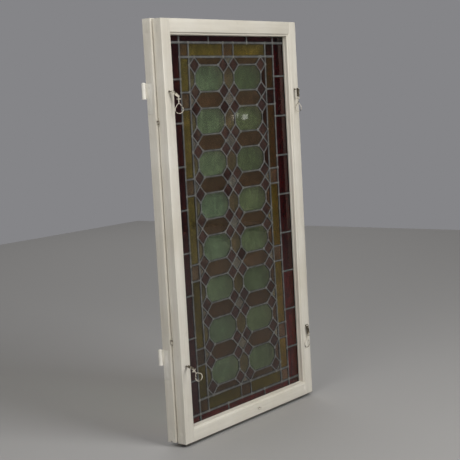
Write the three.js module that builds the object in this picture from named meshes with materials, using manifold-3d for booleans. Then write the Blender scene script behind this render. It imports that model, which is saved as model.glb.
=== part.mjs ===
/**
 * Coupled casement window with a leaded stained glass panel.
 *
 * Two painted wooden sashes lie flat against each other. The inner one faces the room and holds
 * the leaded panel; the outer one is a little larger, holds a clear pane and hangs on two
 * lift-off hinges. Two small coupling hinges on the left edge let the inner sash swing away
 * from the outer one for cleaning.
 *
 * Millimetres. +X to the right and +Z up, seen from the room; +Y points outdoors.
 * The origin is the middle of the outer sash's left edge, the edge that hangs on the wall frame.
 */
import * as THREE from 'three';
import { mergeVertices } from 'three/addons/utils/BufferGeometryUtils.js';
import Module from 'manifold-3d';

const wasm = await Module();
wasm.setup();

// ---------------------------------------------------------------- driving dimensions

const GAP = 0.3; // free space between two pieces that touch in the real window

const OUTER_WIDTH = 685;
const OUTER_HEIGHT = 1228;
const OUTER_THICK = 29;
const OUTER_MEMBER = { left: 54.5, right: 54.5, top: 48, bottom: 44 }; // widths up to the clear opening
const OUTER_CHAMFER = 3;
const OUTER_REBATE = { width: 9, from: 17 }; // the pane's seat, open to the outdoor face
const PANE_THICK = 3;
const PANE_BITE = 7; // how far the pane reaches under the sash on each side
const DRIP_GROOVE = { width: 8, depth: 4, fromBack: 9 };

const SASH_GAP = 2.4; // between the two sashes
const LIP = 8; // the outer sash stands this far past the inner one at the sides
const LIP_TOP = 1.5;
const DROP_BOTTOM = 6; // the inner sash hangs this far below the outer one

const INNER_WIDTH = OUTER_WIDTH - 2 * LIP;
const INNER_HEIGHT = OUTER_HEIGHT - LIP_TOP + DROP_BOTTOM;
const INNER_THICK = 30;
const INNER_MEMBER = 46.5;
const FACE_WIDTH = 38; // flat part of a stile or rail, up to its moulding
const MOULDING = { bevelWidth: 3.5, bevelDepth: 5, fillet: 8.5, step: 15 };
const INNER_REBATE = { width: 10, from: 21 };
const TENON = { from: 1 / 3, to: 2 / 3 }; // the corner tenons, as shares of the sash's thickness

const PANEL_COLUMNS = 2;
const PANEL_ROWS = 8;
const CELL = { width: 191.5, height: 127 }; // one octagon with its share of the lattice
const DIAMOND = { half: 25.5, rise: 24.5 }; // half width and half height of a small diamond
const STRIP_BORDER = 42; // from the lattice to the next came line
const CAME = { field: 6, line: 8.5, cross: 6.5, rim: 9 }; // face widths of the lead
const CAME_THICK = 5.4;
const QUARRY_THICK = 3;
const BOW = 11; // the old panel sags outdoors by this much in its middle

const MAIN_HINGE = { leafWidth: 20, leafHeight: 88, leafThick: 2, radius: 6.2, height: 48, boreRadius: 3.5 };
const MAIN_HINGE_TOPS = { upper: 436, lower: -336 };
const KNUCKLE_OUT = 5; // from the sash's back corner to the knuckle's axis, both ways

const COUPLING = { radius: 3, half: 6, leafWidth: 18, leafHeight: 26, leafThick: 1, pin: 1.4, bore: 1.8 };
const COUPLING_HEIGHTS = { upper: 321, lower: -314 };

const EYE = { radius: 4.3, wire: 1.1, shank: 12 };
const LINK = { half: 3.7, thick: 1.8, hole: 2.4, length: 21.5 };
const LOOP = { ring: 3.4, wire: 1.1, collar: 2, collarHalf: 6.2, radius: 11.5, centre: 16.5 };
const STUD = { half: 7, rise: 3, out: 4.5, shank: 2, depth: 10, fromLeft: 365, fromBottom: 21 };

// ---------------------------------------------------------------- derived positions

const OUTER = {
  left: 0,
  right: OUTER_WIDTH,
  bottom: -OUTER_HEIGHT / 2,
  top: OUTER_HEIGHT / 2,
  front: -OUTER_THICK / 2,
  back: OUTER_THICK / 2,
};
const INNER = {
  left: LIP,
  right: LIP + INNER_WIDTH,
  bottom: OUTER.bottom - DROP_BOTTOM,
  top: OUTER.top - LIP_TOP,
  back: OUTER.front - SASH_GAP,
  front: OUTER.front - SASH_GAP - INNER_THICK,
};
const PANEL = {
  x: (INNER.left + INNER.right) / 2,
  z: (INNER.bottom + INNER.top) / 2,
  front: INNER.front + INNER_REBATE.from + GAP,
  sightX: INNER_WIDTH / 2 - INNER_MEMBER,
  sightZ: INNER_HEIGHT / 2 - INNER_MEMBER,
};
const RIM = { x: PANEL.sightX + CAME.rim / 2, z: PANEL.sightZ + CAME.rim / 2 }; // middle of the rim came
const FIELD = { x: (PANEL_COLUMNS * CELL.width) / 2, z: (PANEL_ROWS * CELL.height) / 2 };
const INNER_LINE = { x: FIELD.x + STRIP_BORDER, z: FIELD.z + STRIP_BORDER };

// ---------------------------------------------------------------- materials

const paint = new THREE.MeshStandardMaterial({ color: 0xdcd4c2, roughness: 0.5 });
const putty = new THREE.MeshStandardMaterial({ color: 0xcfc6b2, roughness: 0.7 });
const lead = new THREE.MeshStandardMaterial({ color: 0x6b6b68, roughness: 0.55, metalness: 0.8 });
const wire = new THREE.MeshStandardMaterial({ color: 0x7d756a, roughness: 0.4, metalness: 0.9 });
const clearGlass = glass(0xe6ece8, 0.18);
const greenGlass = glass(0x6f8f6a, 0.55);
const yellowGlass = glass(0x8a8230, 0.6);

function glass(color, opacity) {
  return new THREE.MeshStandardMaterial({ color, roughness: 0.08, transparent: true, opacity });
}

// ---------------------------------------------------------------- solids

const group = new THREE.Group();

/** Adds one named piece to the window. */
function addPiece(name, geometry, material) {
  const mesh = new THREE.Mesh(geometry, material);
  mesh.name = name;
  group.add(mesh);
}

/** A closed geometry as a solid that can be joined and cut. */
function solid(geometry) {
  const bare = geometry.clone();
  bare.deleteAttribute('normal');
  bare.deleteAttribute('uv');
  const merged = mergeVertices(bare, 1e-4);
  const mesh = new wasm.Mesh({
    numProp: 3,
    vertProperties: new Float32Array(merged.attributes.position.array),
    triVerts: new Uint32Array(merged.index.array),
  });
  return new wasm.Manifold(mesh);
}

/** A solid back as a three.js geometry. */
function geometryOf(body) {
  const mesh = body.getMesh();
  const geometry = new THREE.BufferGeometry();
  geometry.setAttribute('position', new THREE.BufferAttribute(new Float32Array(mesh.vertProperties), 3));
  geometry.setIndex(new THREE.BufferAttribute(new Uint32Array(mesh.triVerts), 1));
  const flat = geometry.toNonIndexed();
  flat.computeVertexNormals();
  return flat;
}

/** The first solid without any of the others. */
function without(body, ...cutters) {
  return cutters.reduce((rest, cutter) => rest.subtract(cutter), body);
}

/** An axis-aligned block between two corners. */
function block(x0, x1, y0, y1, z0, z1) {
  const geometry = new THREE.BoxGeometry(x1 - x0, y1 - y0, z1 - z0);
  geometry.translate((x0 + x1) / 2, (y0 + y1) / 2, (z0 + z1) / 2);
  return solid(geometry);
}

function shapeOf(points) {
  return new THREE.Shape(points.map(([x, y]) => new THREE.Vector2(x, y)));
}

/** An outline in the window's plane, as [x, z] points, made solid from front to back. */
function plate(points, front, back) {
  const geometry = new THREE.ExtrudeGeometry(shapeOf(points), { depth: back - front, bevelEnabled: false });
  geometry.rotateX(Math.PI / 2); // the outline's y becomes z, and the depth runs to -Y
  geometry.translate(0, back, 0);
  return solid(geometry);
}

/** A profile of [x, y] points run upright from z0 to z1. */
function upright(points, z0, z1) {
  const geometry = new THREE.ExtrudeGeometry(shapeOf(points), { depth: z1 - z0, bevelEnabled: false });
  geometry.translate(0, 0, z0);
  return solid(geometry);
}

/** A profile of [z, y] points run level from x0 to x1. */
function level(points, x0, x1) {
  const turned = points.map(([z, y]) => [-z, y]);
  const geometry = new THREE.ExtrudeGeometry(shapeOf(turned), { depth: x1 - x0, bevelEnabled: false });
  geometry.rotateY(Math.PI / 2); // the depth becomes x, and the outline's x becomes -z
  geometry.translate(x0, 0, 0);
  return solid(geometry);
}

/** A round bar from one point to another. */
function bar(from, to, radius, sides) {
  const length = from.distanceTo(to);
  const geometry = new THREE.CylinderGeometry(radius, radius, length, sides);
  const along = to.clone().sub(from).normalize();
  geometry.applyQuaternion(new THREE.Quaternion().setFromUnitVectors(new THREE.Vector3(0, 1, 0), along));
  const middle = from.clone().add(to).multiplyScalar(0.5);
  geometry.translate(middle.x, middle.y, middle.z);
  return solid(geometry);
}

/** A wire ring about a normal. */
function ring(centre, normal, radius, wireRadius) {
  const geometry = new THREE.TorusGeometry(radius, wireRadius, 5, 10);
  geometry.applyQuaternion(new THREE.Quaternion().setFromUnitVectors(new THREE.Vector3(0, 0, 1), normal));
  geometry.translate(centre.x, centre.y, centre.z);
  return solid(geometry);
}

// ---------------------------------------------------------------- sashes

/**
 * One sash: two stiles over the full height and two rails between them, joined at each corner by
 * an open tenon. profile(width) gives the section as [in, y] points, with "in" measured from the
 * sash's edge towards its opening; face(side) is how far the flat face runs before the moulding,
 * where the rails' mouldings meet the stiles' on a mitre.
 */
function makeSash(prefix, frame, members, face, profile) {
  const tenonFront = frame.front + (frame.back - frame.front) * TENON.from;
  const tenonBack = frame.front + (frame.back - frame.front) * TENON.to;
  const pieces = {};
  for (const side of ['left', 'right']) {
    const way = side === 'left' ? 1 : -1;
    const edge = frame[side];
    const points = profile(members[side]).map(([into, y]) => [edge + way * into, y]);
    let stile = upright(points, frame.bottom, frame.top);
    for (const end of ['bottom', 'top']) {
      const up = end === 'bottom' ? 1 : -1;
      const share = cornerShare(frame, members, face, side, end, -GAP / 2);
      const slotEnd = frame[end] + up * (face[end] + GAP);
      const slot = [edge - way, edge + way * (face[side] + 1)].sort((a, b) => a - b);
      const height = [frame[end] - up, slotEnd].sort((a, b) => a - b);
      stile = without(
        stile,
        plate(share, frame.front - 1, frame.back + 1),
        block(...slot, tenonFront - GAP / 2, tenonBack + GAP / 2, ...height),
      );
    }
    pieces[`${prefix}_stile_${side}`] = stile;
  }
  for (const end of ['top', 'bottom']) {
    const up = end === 'bottom' ? 1 : -1;
    const points = profile(members[end]).map(([into, y]) => [frame[end] + up * into, y]);
    let rail = level(points, frame.left + face.left, frame.right - face.right);
    for (const side of ['left', 'right']) {
      const way = side === 'left' ? 1 : -1;
      const far = 2 * Math.max(members[side], members[end]);
      const a = frame[side] + way * (face[side] + GAP / 2);
      const b = frame[end] + up * (face[end] + GAP / 2);
      const keepOut = [
        [a - way * far, frame[end] - up],
        [a, frame[end] - up],
        [a, b],
        [a + way * far, b + up * far],
        [a - way * far, b + up * far],
      ];
      rail = without(rail, plate(keepOut, frame.front - 1, frame.back + 1));
      const tenonX = [frame[side], frame[side] + way * (face[side] + 2)].sort((p, q) => p - q);
      const tenonZ = [frame[end], frame[end] + up * face[end]].sort((p, q) => p - q);
      rail = rail.add(block(...tenonX, tenonFront + GAP / 2, tenonBack - GAP / 2, ...tenonZ));
    }
    pieces[`${prefix}_rail_${end}`] = rail;
  }
  return pieces;
}

/** The part of a corner that belongs to the rail: its flat face, and its side of the mitre. */
function cornerShare(frame, members, face, side, end, slack) {
  const way = side === 'left' ? 1 : -1;
  const up = end === 'bottom' ? 1 : -1;
  const far = 2 * Math.max(members[side], members[end]);
  const a = frame[side] + way * (face[side] + slack);
  const b = frame[end] + up * (face[end] + slack);
  return [
    [a, frame[end] - up],
    [a, b],
    [a + way * far, b + up * far],
    [a + way * far, frame[end] - up],
  ];
}

/** Section of an outer member: a chamfer towards the inner sash, a rebate for the pane behind. */
function outerProfile(width) {
  const seat = OUTER.front + OUTER_REBATE.from;
  return [
    [0, OUTER.front],
    [width - OUTER_CHAMFER, OUTER.front],
    [width, OUTER.front + OUTER_CHAMFER],
    [width, seat],
    [width - OUTER_REBATE.width, seat],
    [width - OUTER_REBATE.width, OUTER.back],
    [0, OUTER.back],
  ];
}

/** Section of an inner member: flat face, bevel, fillet, a deep reveal with a step, and a rebate. */
function innerProfile(width) {
  const bevelEnd = FACE_WIDTH + MOULDING.bevelWidth;
  const fillet = width - 1.5;
  const seat = INNER.front + INNER_REBATE.from;
  return [
    [0, INNER.front],
    [FACE_WIDTH, INNER.front],
    [bevelEnd, INNER.front + MOULDING.bevelDepth],
    [fillet, INNER.front + MOULDING.bevelDepth],
    [fillet, INNER.front + MOULDING.step],
    [width, INNER.front + MOULDING.step + 1],
    [width, seat],
    [width - INNER_REBATE.width, seat],
    [width - INNER_REBATE.width, INNER.back],
    [0, INNER.back],
  ];
}

const sides = ['left', 'right', 'top', 'bottom'];
const sameOnAllSides = (value) => Object.fromEntries(sides.map((side) => [side, value]));
const outerFace = Object.fromEntries(sides.map((side) => [side, OUTER_MEMBER[side] - OUTER_REBATE.width]));
const outerSash = makeSash('outer', OUTER, OUTER_MEMBER, outerFace, outerProfile);
const innerSash = makeSash('inner', INNER, sameOnAllSides(INNER_MEMBER), sameOnAllSides(FACE_WIDTH - 2), innerProfile);

/** The groove under the outer sash that sheds rain before it reaches the wall frame. */
function dripGroove() {
  const back = OUTER.back - DRIP_GROOVE.fromBack;
  return block(-1, OUTER_WIDTH + 1, back - DRIP_GROOVE.width, back, OUTER.bottom - 1, OUTER.bottom + DRIP_GROOVE.depth);
}

for (const name of ['outer_stile_left', 'outer_stile_right', 'outer_rail_bottom']) {
  outerSash[name] = without(outerSash[name], dripGroove());
}

// ---------------------------------------------------------------- glazing

/** Four strips round an opening, each with the section's [in, y] points, mitred at the corners. */
function makeSurround(prefix, opening, section, material) {
  const far = 60;
  const gap = GAP / 2;
  for (const side of sides) {
    const upIs = side === 'left' || side === 'right';
    const way = side === 'left' || side === 'bottom' ? 1 : -1;
    const points = section.map(([into, y]) => [opening[side] + way * into, y]);
    const run = upIs ? [opening.bottom - far, opening.top + far] : [opening.left - far, opening.right + far];
    let strip = upIs ? upright(points, ...run) : level(points, ...run);
    for (const end of upIs ? ['bottom', 'top'] : ['left', 'right']) {
      const along = end === 'bottom' || end === 'left' ? 1 : -1;
      // beyond the mitre, everything nearer the corner belongs to the next strip
      const corner = [
        [far + gap, far],
        [-far + gap, -far],
        [-2 * far, -far],
        [-2 * far, far],
      ].map(([run1, into]) => [opening[end] + along * run1, opening[side] + way * into]);
      const outline = upIs ? corner.map(([z, x]) => [x, z]) : corner;
      strip = without(strip, plate(outline, INNER.front, OUTER.back));
    }
    addPiece(`${prefix}_${side}`, geometryOf(strip), material);
  }
}

function openingOf(frame, members) {
  return {
    left: frame.left + members.left,
    right: frame.right - members.right,
    bottom: frame.bottom + members.bottom,
    top: frame.top - members.top,
  };
}

const outerOpening = openingOf(OUTER, OUTER_MEMBER);
const innerOpening = openingOf(INNER, sameOnAllSides(INNER_MEMBER));

function addOuterGlazing() {
  const front = OUTER.front + OUTER_REBATE.from + GAP;
  const back = front + PANE_THICK;
  const pane = block(
    outerOpening.left - PANE_BITE, outerOpening.right + PANE_BITE,
    front, back,
    outerOpening.bottom - PANE_BITE, outerOpening.top + PANE_BITE,
  );
  addPiece('outer_pane', geometryOf(pane), clearGlass);
  const puttyDeep = OUTER_REBATE.width - GAP;
  const section = [
    [-puttyDeep, back + GAP],
    [-1, back + GAP],
    [-puttyDeep, OUTER.back - GAP],
  ];
  makeSurround('outer_putty', outerOpening, section, putty);
}

function addInnerBeads() {
  const front = PANEL.front + CAME_THICK + GAP;
  const deep = INNER_REBATE.width - GAP;
  const section = [
    [-deep, front],
    [-GAP, front],
    [-GAP, INNER.back - 1],
    [-1 - GAP, INNER.back],
    [-deep, INNER.back],
  ];
  makeSurround('inner_bead', innerOpening, section, paint);
}

// ---------------------------------------------------------------- leaded panel

/** How far the sagging panel stands back at a point, measured from its middle. */
function bowAt(x, z) {
  const acrossX = Math.max(0, 1 - (x / PANEL.sightX) ** 2);
  const acrossZ = Math.max(0, 1 - (z / PANEL.sightZ) ** 2);
  return BOW * acrossX * acrossZ;
}

/** Moves each edge of a convex outline inwards by its own distance. Points run anticlockwise. */
function inset(points, distances) {
  const edges = points.map((from, i) => {
    const to = points[(i + 1) % points.length];
    const length = Math.hypot(to[0] - from[0], to[1] - from[1]);
    const along = [(to[0] - from[0]) / length, (to[1] - from[1]) / length];
    const start = [from[0] - along[1] * distances[i], from[1] + along[0] * distances[i]];
    return { start, along };
  });
  return edges.map((edge, i) => {
    const last = edges[(i + edges.length - 1) % edges.length];
    const cross = last.along[0] * edge.along[1] - last.along[1] * edge.along[0];
    const gapX = edge.start[0] - last.start[0];
    const gapZ = edge.start[1] - last.start[1];
    const reach = (gapX * edge.along[1] - gapZ * edge.along[0]) / cross;
    return [last.start[0] + last.along[0] * reach, last.start[1] + last.along[1] * reach];
  });
}

/** One quarry of glass: its outline on the cames' middle lines and the came along each edge. */
function quarry(kind, points, cames) {
  const around = Array.isArray(cames) ? cames : points.map(() => cames);
  return { kind, points, cames: around };
}

/** An upright rectangle, with its cames named for the bottom, right, top and left edges. */
function rectangle(kind, x0, x1, z0, z1, cames) {
  return quarry(kind, [[x0, z0], [x1, z0], [x1, z1], [x0, z1]], cames);
}

/** The part of an outline on one side of the lattice's edge, where a diamond or hexagon is halved. */
function clipToField(piece) {
  let points = piece.points.map(([x, z], i) => ({ x, z, came: piece.cames[i] }));
  const limits = [
    ['x', FIELD.x, 1],
    ['x', -FIELD.x, -1],
    ['z', FIELD.z, 1],
    ['z', -FIELD.z, -1],
  ];
  for (const [axis, limit, sign] of limits) {
    const out = (p) => sign * (p[axis] - limit) > 1e-6;
    const kept = [];
    points.forEach((p, i) => {
      const next = points[(i + 1) % points.length];
      if (!out(p)) kept.push(p);
      if (out(p) !== out(next)) {
        const share = (limit - p[axis]) / (next[axis] - p[axis]);
        const came = out(next) ? 'line' : p.came;
        kept.push({ x: p.x + (next.x - p.x) * share, z: p.z + (next.z - p.z) * share, came });
      }
    });
    points = withoutRepeats(kept);
  }
  return { kind: piece.kind, points: points.map((p) => [p.x, p.z]), cames: points.map((p) => p.came) };
}

/** Drops a point that lies on the one before it, keeping the came of the edge that goes on. */
function withoutRepeats(points) {
  return points.filter((p, i) => {
    const next = points[(i + 1) % points.length];
    return Math.hypot(next.x - p.x, next.z - p.z) > 1e-6;
  });
}

/** Octagons, hexagons and diamonds of the lattice, each halved where it meets the border. */
function latticeQuarries() {
  const { half, rise } = DIAMOND;
  const pieces = [];
  const add = (kind, x, z, outline) => {
    const moved = outline.map(([dx, dz]) => [x + dx, z + dz]);
    pieces.push(clipToField(quarry(kind, moved, 'field')));
  };
  const diamond = [[half, 0], [0, rise], [-half, 0], [0, -rise]];
  for (let column = 0; column <= PANEL_COLUMNS; column += 1) {
    for (let row = 0; row <= PANEL_ROWS; row += 1) {
      const x = column * CELL.width - FIELD.x;
      const z = FIELD.z - row * CELL.height;
      const alongX = CELL.width / 2;
      const alongZ = CELL.height / 2;
      add('clear_diamond', x, z, diamond);
      for (const [sx, sz] of [[1, 1], [-1, 1], [-1, -1], [1, -1]]) {
        if (Math.abs(x + sx * half) < FIELD.x && Math.abs(z + sz * rise) < FIELD.z) {
          add('red_diamond', x + sx * half, z + sz * rise, diamond);
        }
      }
      if (column < PANEL_COLUMNS) {
        const tip = alongX - half;
        const flat = alongX - 2 * half;
        const hexagon = [[tip, 0], [flat, rise], [-flat, rise], [-tip, 0], [-flat, -rise], [flat, -rise]];
        add('wide_hexagon', x + alongX, z, hexagon);
      }
      if (row < PANEL_ROWS) {
        const tip = alongZ - rise;
        const flat = alongZ - 2 * rise;
        const hexagon = [[half, -flat], [half, flat], [0, tip], [-half, flat], [-half, -flat], [0, -tip]];
        add('tall_hexagon', x, z - alongZ, hexagon);
      }
      if (column < PANEL_COLUMNS && row < PANEL_ROWS) {
        const [a, b] = [alongX - half, alongZ - rise];
        const [flatA, flatB] = [alongX - 2 * half, alongZ - 2 * rise];
        const octagon = [[a, -flatB], [a, flatB], [flatA, b], [-flatA, b], [-a, flatB], [-a, -flatB], [-flatA, -b], [flatA, -b]];
        add('octagon', x + alongX, z - alongZ, octagon);
      }
    }
  }
  return pieces;
}

/** The strip border: yellow strips with short brown pieces between them, and brown corners. */
function stripQuarries() {
  const pieces = [];
  const { half, rise } = DIAMOND;
  for (const s of [1, -1]) {
    const [z0, z1] = [s * FIELD.z, s * INNER_LINE.z].sort((a, b) => a - b);
    const ends = [-FIELD.x, -half, half, FIELD.x];
    ['yellow_strip', 'brown_strip', 'yellow_strip'].forEach((kind, i) => {
      const right = i === 2 ? 'line' : 'cross';
      const left = i === 0 ? 'line' : 'cross';
      pieces.push(rectangle(kind, ends[i], ends[i + 1], z0, z1, ['line', right, 'line', left]));
    });
  }
  const cuts = [FIELD.z];
  for (let row = 1; row < PANEL_ROWS; row += 2) {
    const z = FIELD.z - row * CELL.height;
    cuts.push(z + rise, z - rise);
  }
  cuts.push(-FIELD.z);
  for (const s of [-1, 1]) {
    const [x0, x1] = [s * FIELD.x, s * INNER_LINE.x].sort((a, b) => a - b);
    for (let i = 0; i + 1 < cuts.length; i += 1) {
      const kind = i % 2 === 0 ? 'yellow_strip' : 'brown_strip';
      const top = i === 0 ? 'line' : 'cross';
      const bottom = i + 2 === cuts.length ? 'line' : 'cross';
      pieces.push(rectangle(kind, x0, x1, cuts[i + 1], cuts[i], [bottom, 'line', top, 'line']));
    }
    for (const t of [-1, 1]) {
      const [z0, z1] = [t * FIELD.z, t * INNER_LINE.z].sort((a, b) => a - b);
      pieces.push(rectangle('brown_corner', x0, x1, z0, z1, 'line'));
    }
  }
  return pieces;
}

/** The ruby border against the sash, crossed by a came at the middle of each octagon. */
function rubyQuarries() {
  const pieces = [];
  const rows = Array.from({ length: PANEL_ROWS }, (_, row) => FIELD.z - (row + 0.5) * CELL.height);
  const columns = Array.from({ length: PANEL_COLUMNS }, (_, column) => (column + 0.5) * CELL.width - FIELD.x);
  const cutsZ = [INNER_LINE.z, ...rows, -INNER_LINE.z];
  const cutsX = [-INNER_LINE.x, ...columns, INNER_LINE.x];
  for (const s of [-1, 1]) {
    const [x0, x1] = [s * INNER_LINE.x, s * RIM.x].sort((a, b) => a - b);
    for (let i = 0; i + 1 < cutsZ.length; i += 1) {
      const top = i === 0 ? 'line' : 'cross';
      const bottom = i + 2 === cutsZ.length ? 'line' : 'cross';
      const [right, left] = s === 1 ? ['rim', 'line'] : ['line', 'rim'];
      pieces.push(rectangle('ruby', x0, x1, cutsZ[i + 1], cutsZ[i], [bottom, right, top, left]));
    }
    const [z0, z1] = [s * INNER_LINE.z, s * RIM.z].sort((a, b) => a - b);
    for (let i = 0; i + 1 < cutsX.length; i += 1) {
      const left = i === 0 ? 'line' : 'cross';
      const right = i + 2 === cutsX.length ? 'line' : 'cross';
      const [top, bottom] = s === 1 ? ['rim', 'line'] : ['line', 'rim'];
      pieces.push(rectangle('ruby', cutsX[i], cutsX[i + 1], z0, z1, [bottom, right, top, left]));
    }
    for (const t of [-1, 1]) {
      const [w0, w1] = [t * INNER_LINE.z, t * RIM.z].sort((a, b) => a - b);
      const [right, left] = s === 1 ? ['rim', 'line'] : ['line', 'rim'];
      const [top, bottom] = t === 1 ? ['rim', 'line'] : ['line', 'rim'];
      pieces.push(rectangle('ruby', x0, x1, w0, w1, [bottom, right, top, left]));
    }
  }
  return pieces;
}

/** Bends a flat piece of the panel to its sag and sets it in its place in the sash. */
function setInSash(body, front) {
  const geometry = geometryOf(body);
  const place = geometry.attributes.position;
  for (let i = 0; i < place.count; i += 1) {
    const [x, y, z] = [place.getX(i), place.getY(i), place.getZ(i)];
    place.setXYZ(i, x + PANEL.x, y + front + bowAt(x, z), z + PANEL.z);
  }
  return geometry;
}

/** The whole net of lead cames, soldered into one piece, with an opening for every quarry. */
function cameNet(quarries) {
  const x = RIM.x + CAME.rim / 2;
  const z = RIM.z + CAME.rim / 2;
  const sheet = plate([[-x, -z], [x, -z], [x, z], [-x, z]], 0, CAME_THICK);
  const openings = quarries.map(({ points, cames }) => {
    const outline = inset(points, cames.map((came) => CAME[came] / 2));
    return plate(outline, -1, CAME_THICK + 1);
  });
  return setInSash(without(sheet, ...openings), PANEL.front);
}

/** One quarry of glass, a little smaller than its opening in the net. */
function quarryGeometry({ points, cames }) {
  const outline = inset(points, cames.map((came) => CAME[came] / 2 + GAP));
  const front = (CAME_THICK - QUARRY_THICK) / 2;
  return setInSash(plate(outline, front, front + QUARRY_THICK), PANEL.front);
}

function addLeadedPanel() {
  const quarries = [...latticeQuarries(), ...stripQuarries(), ...rubyQuarries()];
  addPiece('came_net', cameNet(quarries), lead);
  const octagons = quarries.filter(({ kind }) => kind === 'octagon');
  octagons.forEach((piece, i) => {
    const column = Math.floor(i / PANEL_ROWS) + 1;
    const row = (i % PANEL_ROWS) + 1;
    addPiece(`quarry_octagon_r${row}_c${column}`, quarryGeometry(piece), greenGlass);
  });
  const longest = 2 * CELL.height - 2 * DIAMOND.rise;
  const isLong = ({ kind, points }) => kind === 'yellow_strip' && Math.abs(points[2][1] - points[0][1] - longest) < 1;
  const strips = quarries.filter(isLong);
  strips.forEach((piece, i) => {
    const side = piece.points[0][0] < 0 ? 'left' : 'right';
    addPiece(`quarry_strip_${side}_${(i % (strips.length / 2)) + 1}`, quarryGeometry(piece), yellowGlass);
  });
}

// ---------------------------------------------------------------- hinges

/** The sash half of a lift-off hinge: a leaf let into the sash's edge and a bored, domed knuckle. */
function mainHinge(top) {
  const { leafWidth, leafHeight, leafThick, radius, height, boreRadius } = MAIN_HINGE;
  const wall = 4;
  const collar = radius + 0.9;
  const boreTop = height - radius - wall;
  const dome = Array.from({ length: 3 }, (_, i) => {
    const angle = (i / 3) * (Math.PI / 2);
    return new THREE.Vector2(radius * Math.cos(angle), height - radius * 0.8 * (1 - Math.sin(angle)));
  });
  const outline = [
    new THREE.Vector2(0, boreTop),
    new THREE.Vector2(boreRadius, boreTop),
    new THREE.Vector2(boreRadius, 0),
    new THREE.Vector2(collar, 0),
    new THREE.Vector2(collar, 1.5),
    new THREE.Vector2(radius, 3),
    ...dome,
    new THREE.Vector2(0, height),
  ];
  const knuckle = new THREE.LatheGeometry(outline, 14);
  knuckle.rotateX(Math.PI / 2);
  knuckle.translate(-KNUCKLE_OUT, OUTER.back + KNUCKLE_OUT, top - height);
  const leafTop = top - 3;
  const reach = OUTER.back + KNUCKLE_OUT - 2;
  const leaf = block(0, leafThick, OUTER.back - leafWidth, OUTER.back, leafTop - leafHeight, leafTop);
  const wrap = block(-1, leafThick, OUTER.back + GAP, reach, top - height + 4, leafTop);
  const bridge = block(0, leafThick, OUTER.back - 1, OUTER.back + 1, top - height + 4, leafTop);
  const bore = new THREE.CylinderGeometry(boreRadius, boreRadius, boreTop + 1, 14);
  bore.rotateX(Math.PI / 2);
  bore.translate(-KNUCKLE_OUT, OUTER.back + KNUCKLE_OUT, top - height + (boreTop - 1) / 2);
  return without(solid(knuckle).add(leaf).add(bridge).add(wrap), solid(bore));
}

/** The recess that takes a main hinge's leaf. */
function leafRecess(top) {
  const { leafWidth, leafHeight, leafThick } = MAIN_HINGE;
  const leafTop = top - 3;
  return block(
    -1, leafThick + GAP,
    OUTER.back - leafWidth - GAP, OUTER.back + 1,
    leafTop - leafHeight - GAP, leafTop + GAP,
  );
}

const COUPLING_AXIS = { x: INNER.left - GAP - COUPLING.radius, y: OUTER.front - GAP - COUPLING.radius };

/** A leaf with its half of a coupling hinge's knuckle. way is 1 for the half above the middle. */
function couplingHalf(z, way, leafFront) {
  const { radius, half, leafWidth, leafHeight, leafThick } = COUPLING;
  const { x, y } = COUPLING_AXIS;
  const clear = way * (GAP / 2);
  const from = new THREE.Vector3(x, y, z + clear);
  const to = new THREE.Vector3(x, y, z + way * half);
  const tabZ = [z + clear, z + way * half].sort((a, b) => a - b);
  const leafX = x + radius + GAP * 2;
  return bar(from, to, radius, 12)
    .add(block(x, leafX + 1, leafFront, leafFront + leafThick, ...tabZ))
    .add(block(leafX, x + leafWidth, leafFront, leafFront + leafThick, z - leafHeight / 2, z + leafHeight / 2));
}

/** The outer sash's half, which carries the pin, and the inner sash's half, which turns on it. */
function couplingHinge(z) {
  const { half, pin, bore } = COUPLING;
  const { x, y } = COUPLING_AXIS;
  const at = (height) => new THREE.Vector3(x, y, z + height);
  const outer = couplingHalf(z, -1, OUTER.front - GAP - COUPLING.leafThick).add(bar(at(-half / 2), at(half), pin, 12));
  const inner = without(couplingHalf(z, 1, INNER.back + GAP - COUPLING.leafThick), bar(at(-1), at(half + 1), bore, 12));
  return { outer, inner };
}

/** The recess that takes a coupling hinge's leaf at the inner sash's back edge. */
function couplingRecess(z) {
  const { leafWidth, leafHeight, leafThick } = COUPLING;
  return block(
    INNER.left - 1, COUPLING_AXIS.x + leafWidth + GAP,
    INNER.back - leafThick, INNER.back + 1,
    z - leafHeight / 2 - GAP, z + leafHeight / 2 + GAP,
  );
}

// ---------------------------------------------------------------- hooks

const vector = (x, y, z) => new THREE.Vector3(x, y, z);

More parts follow.
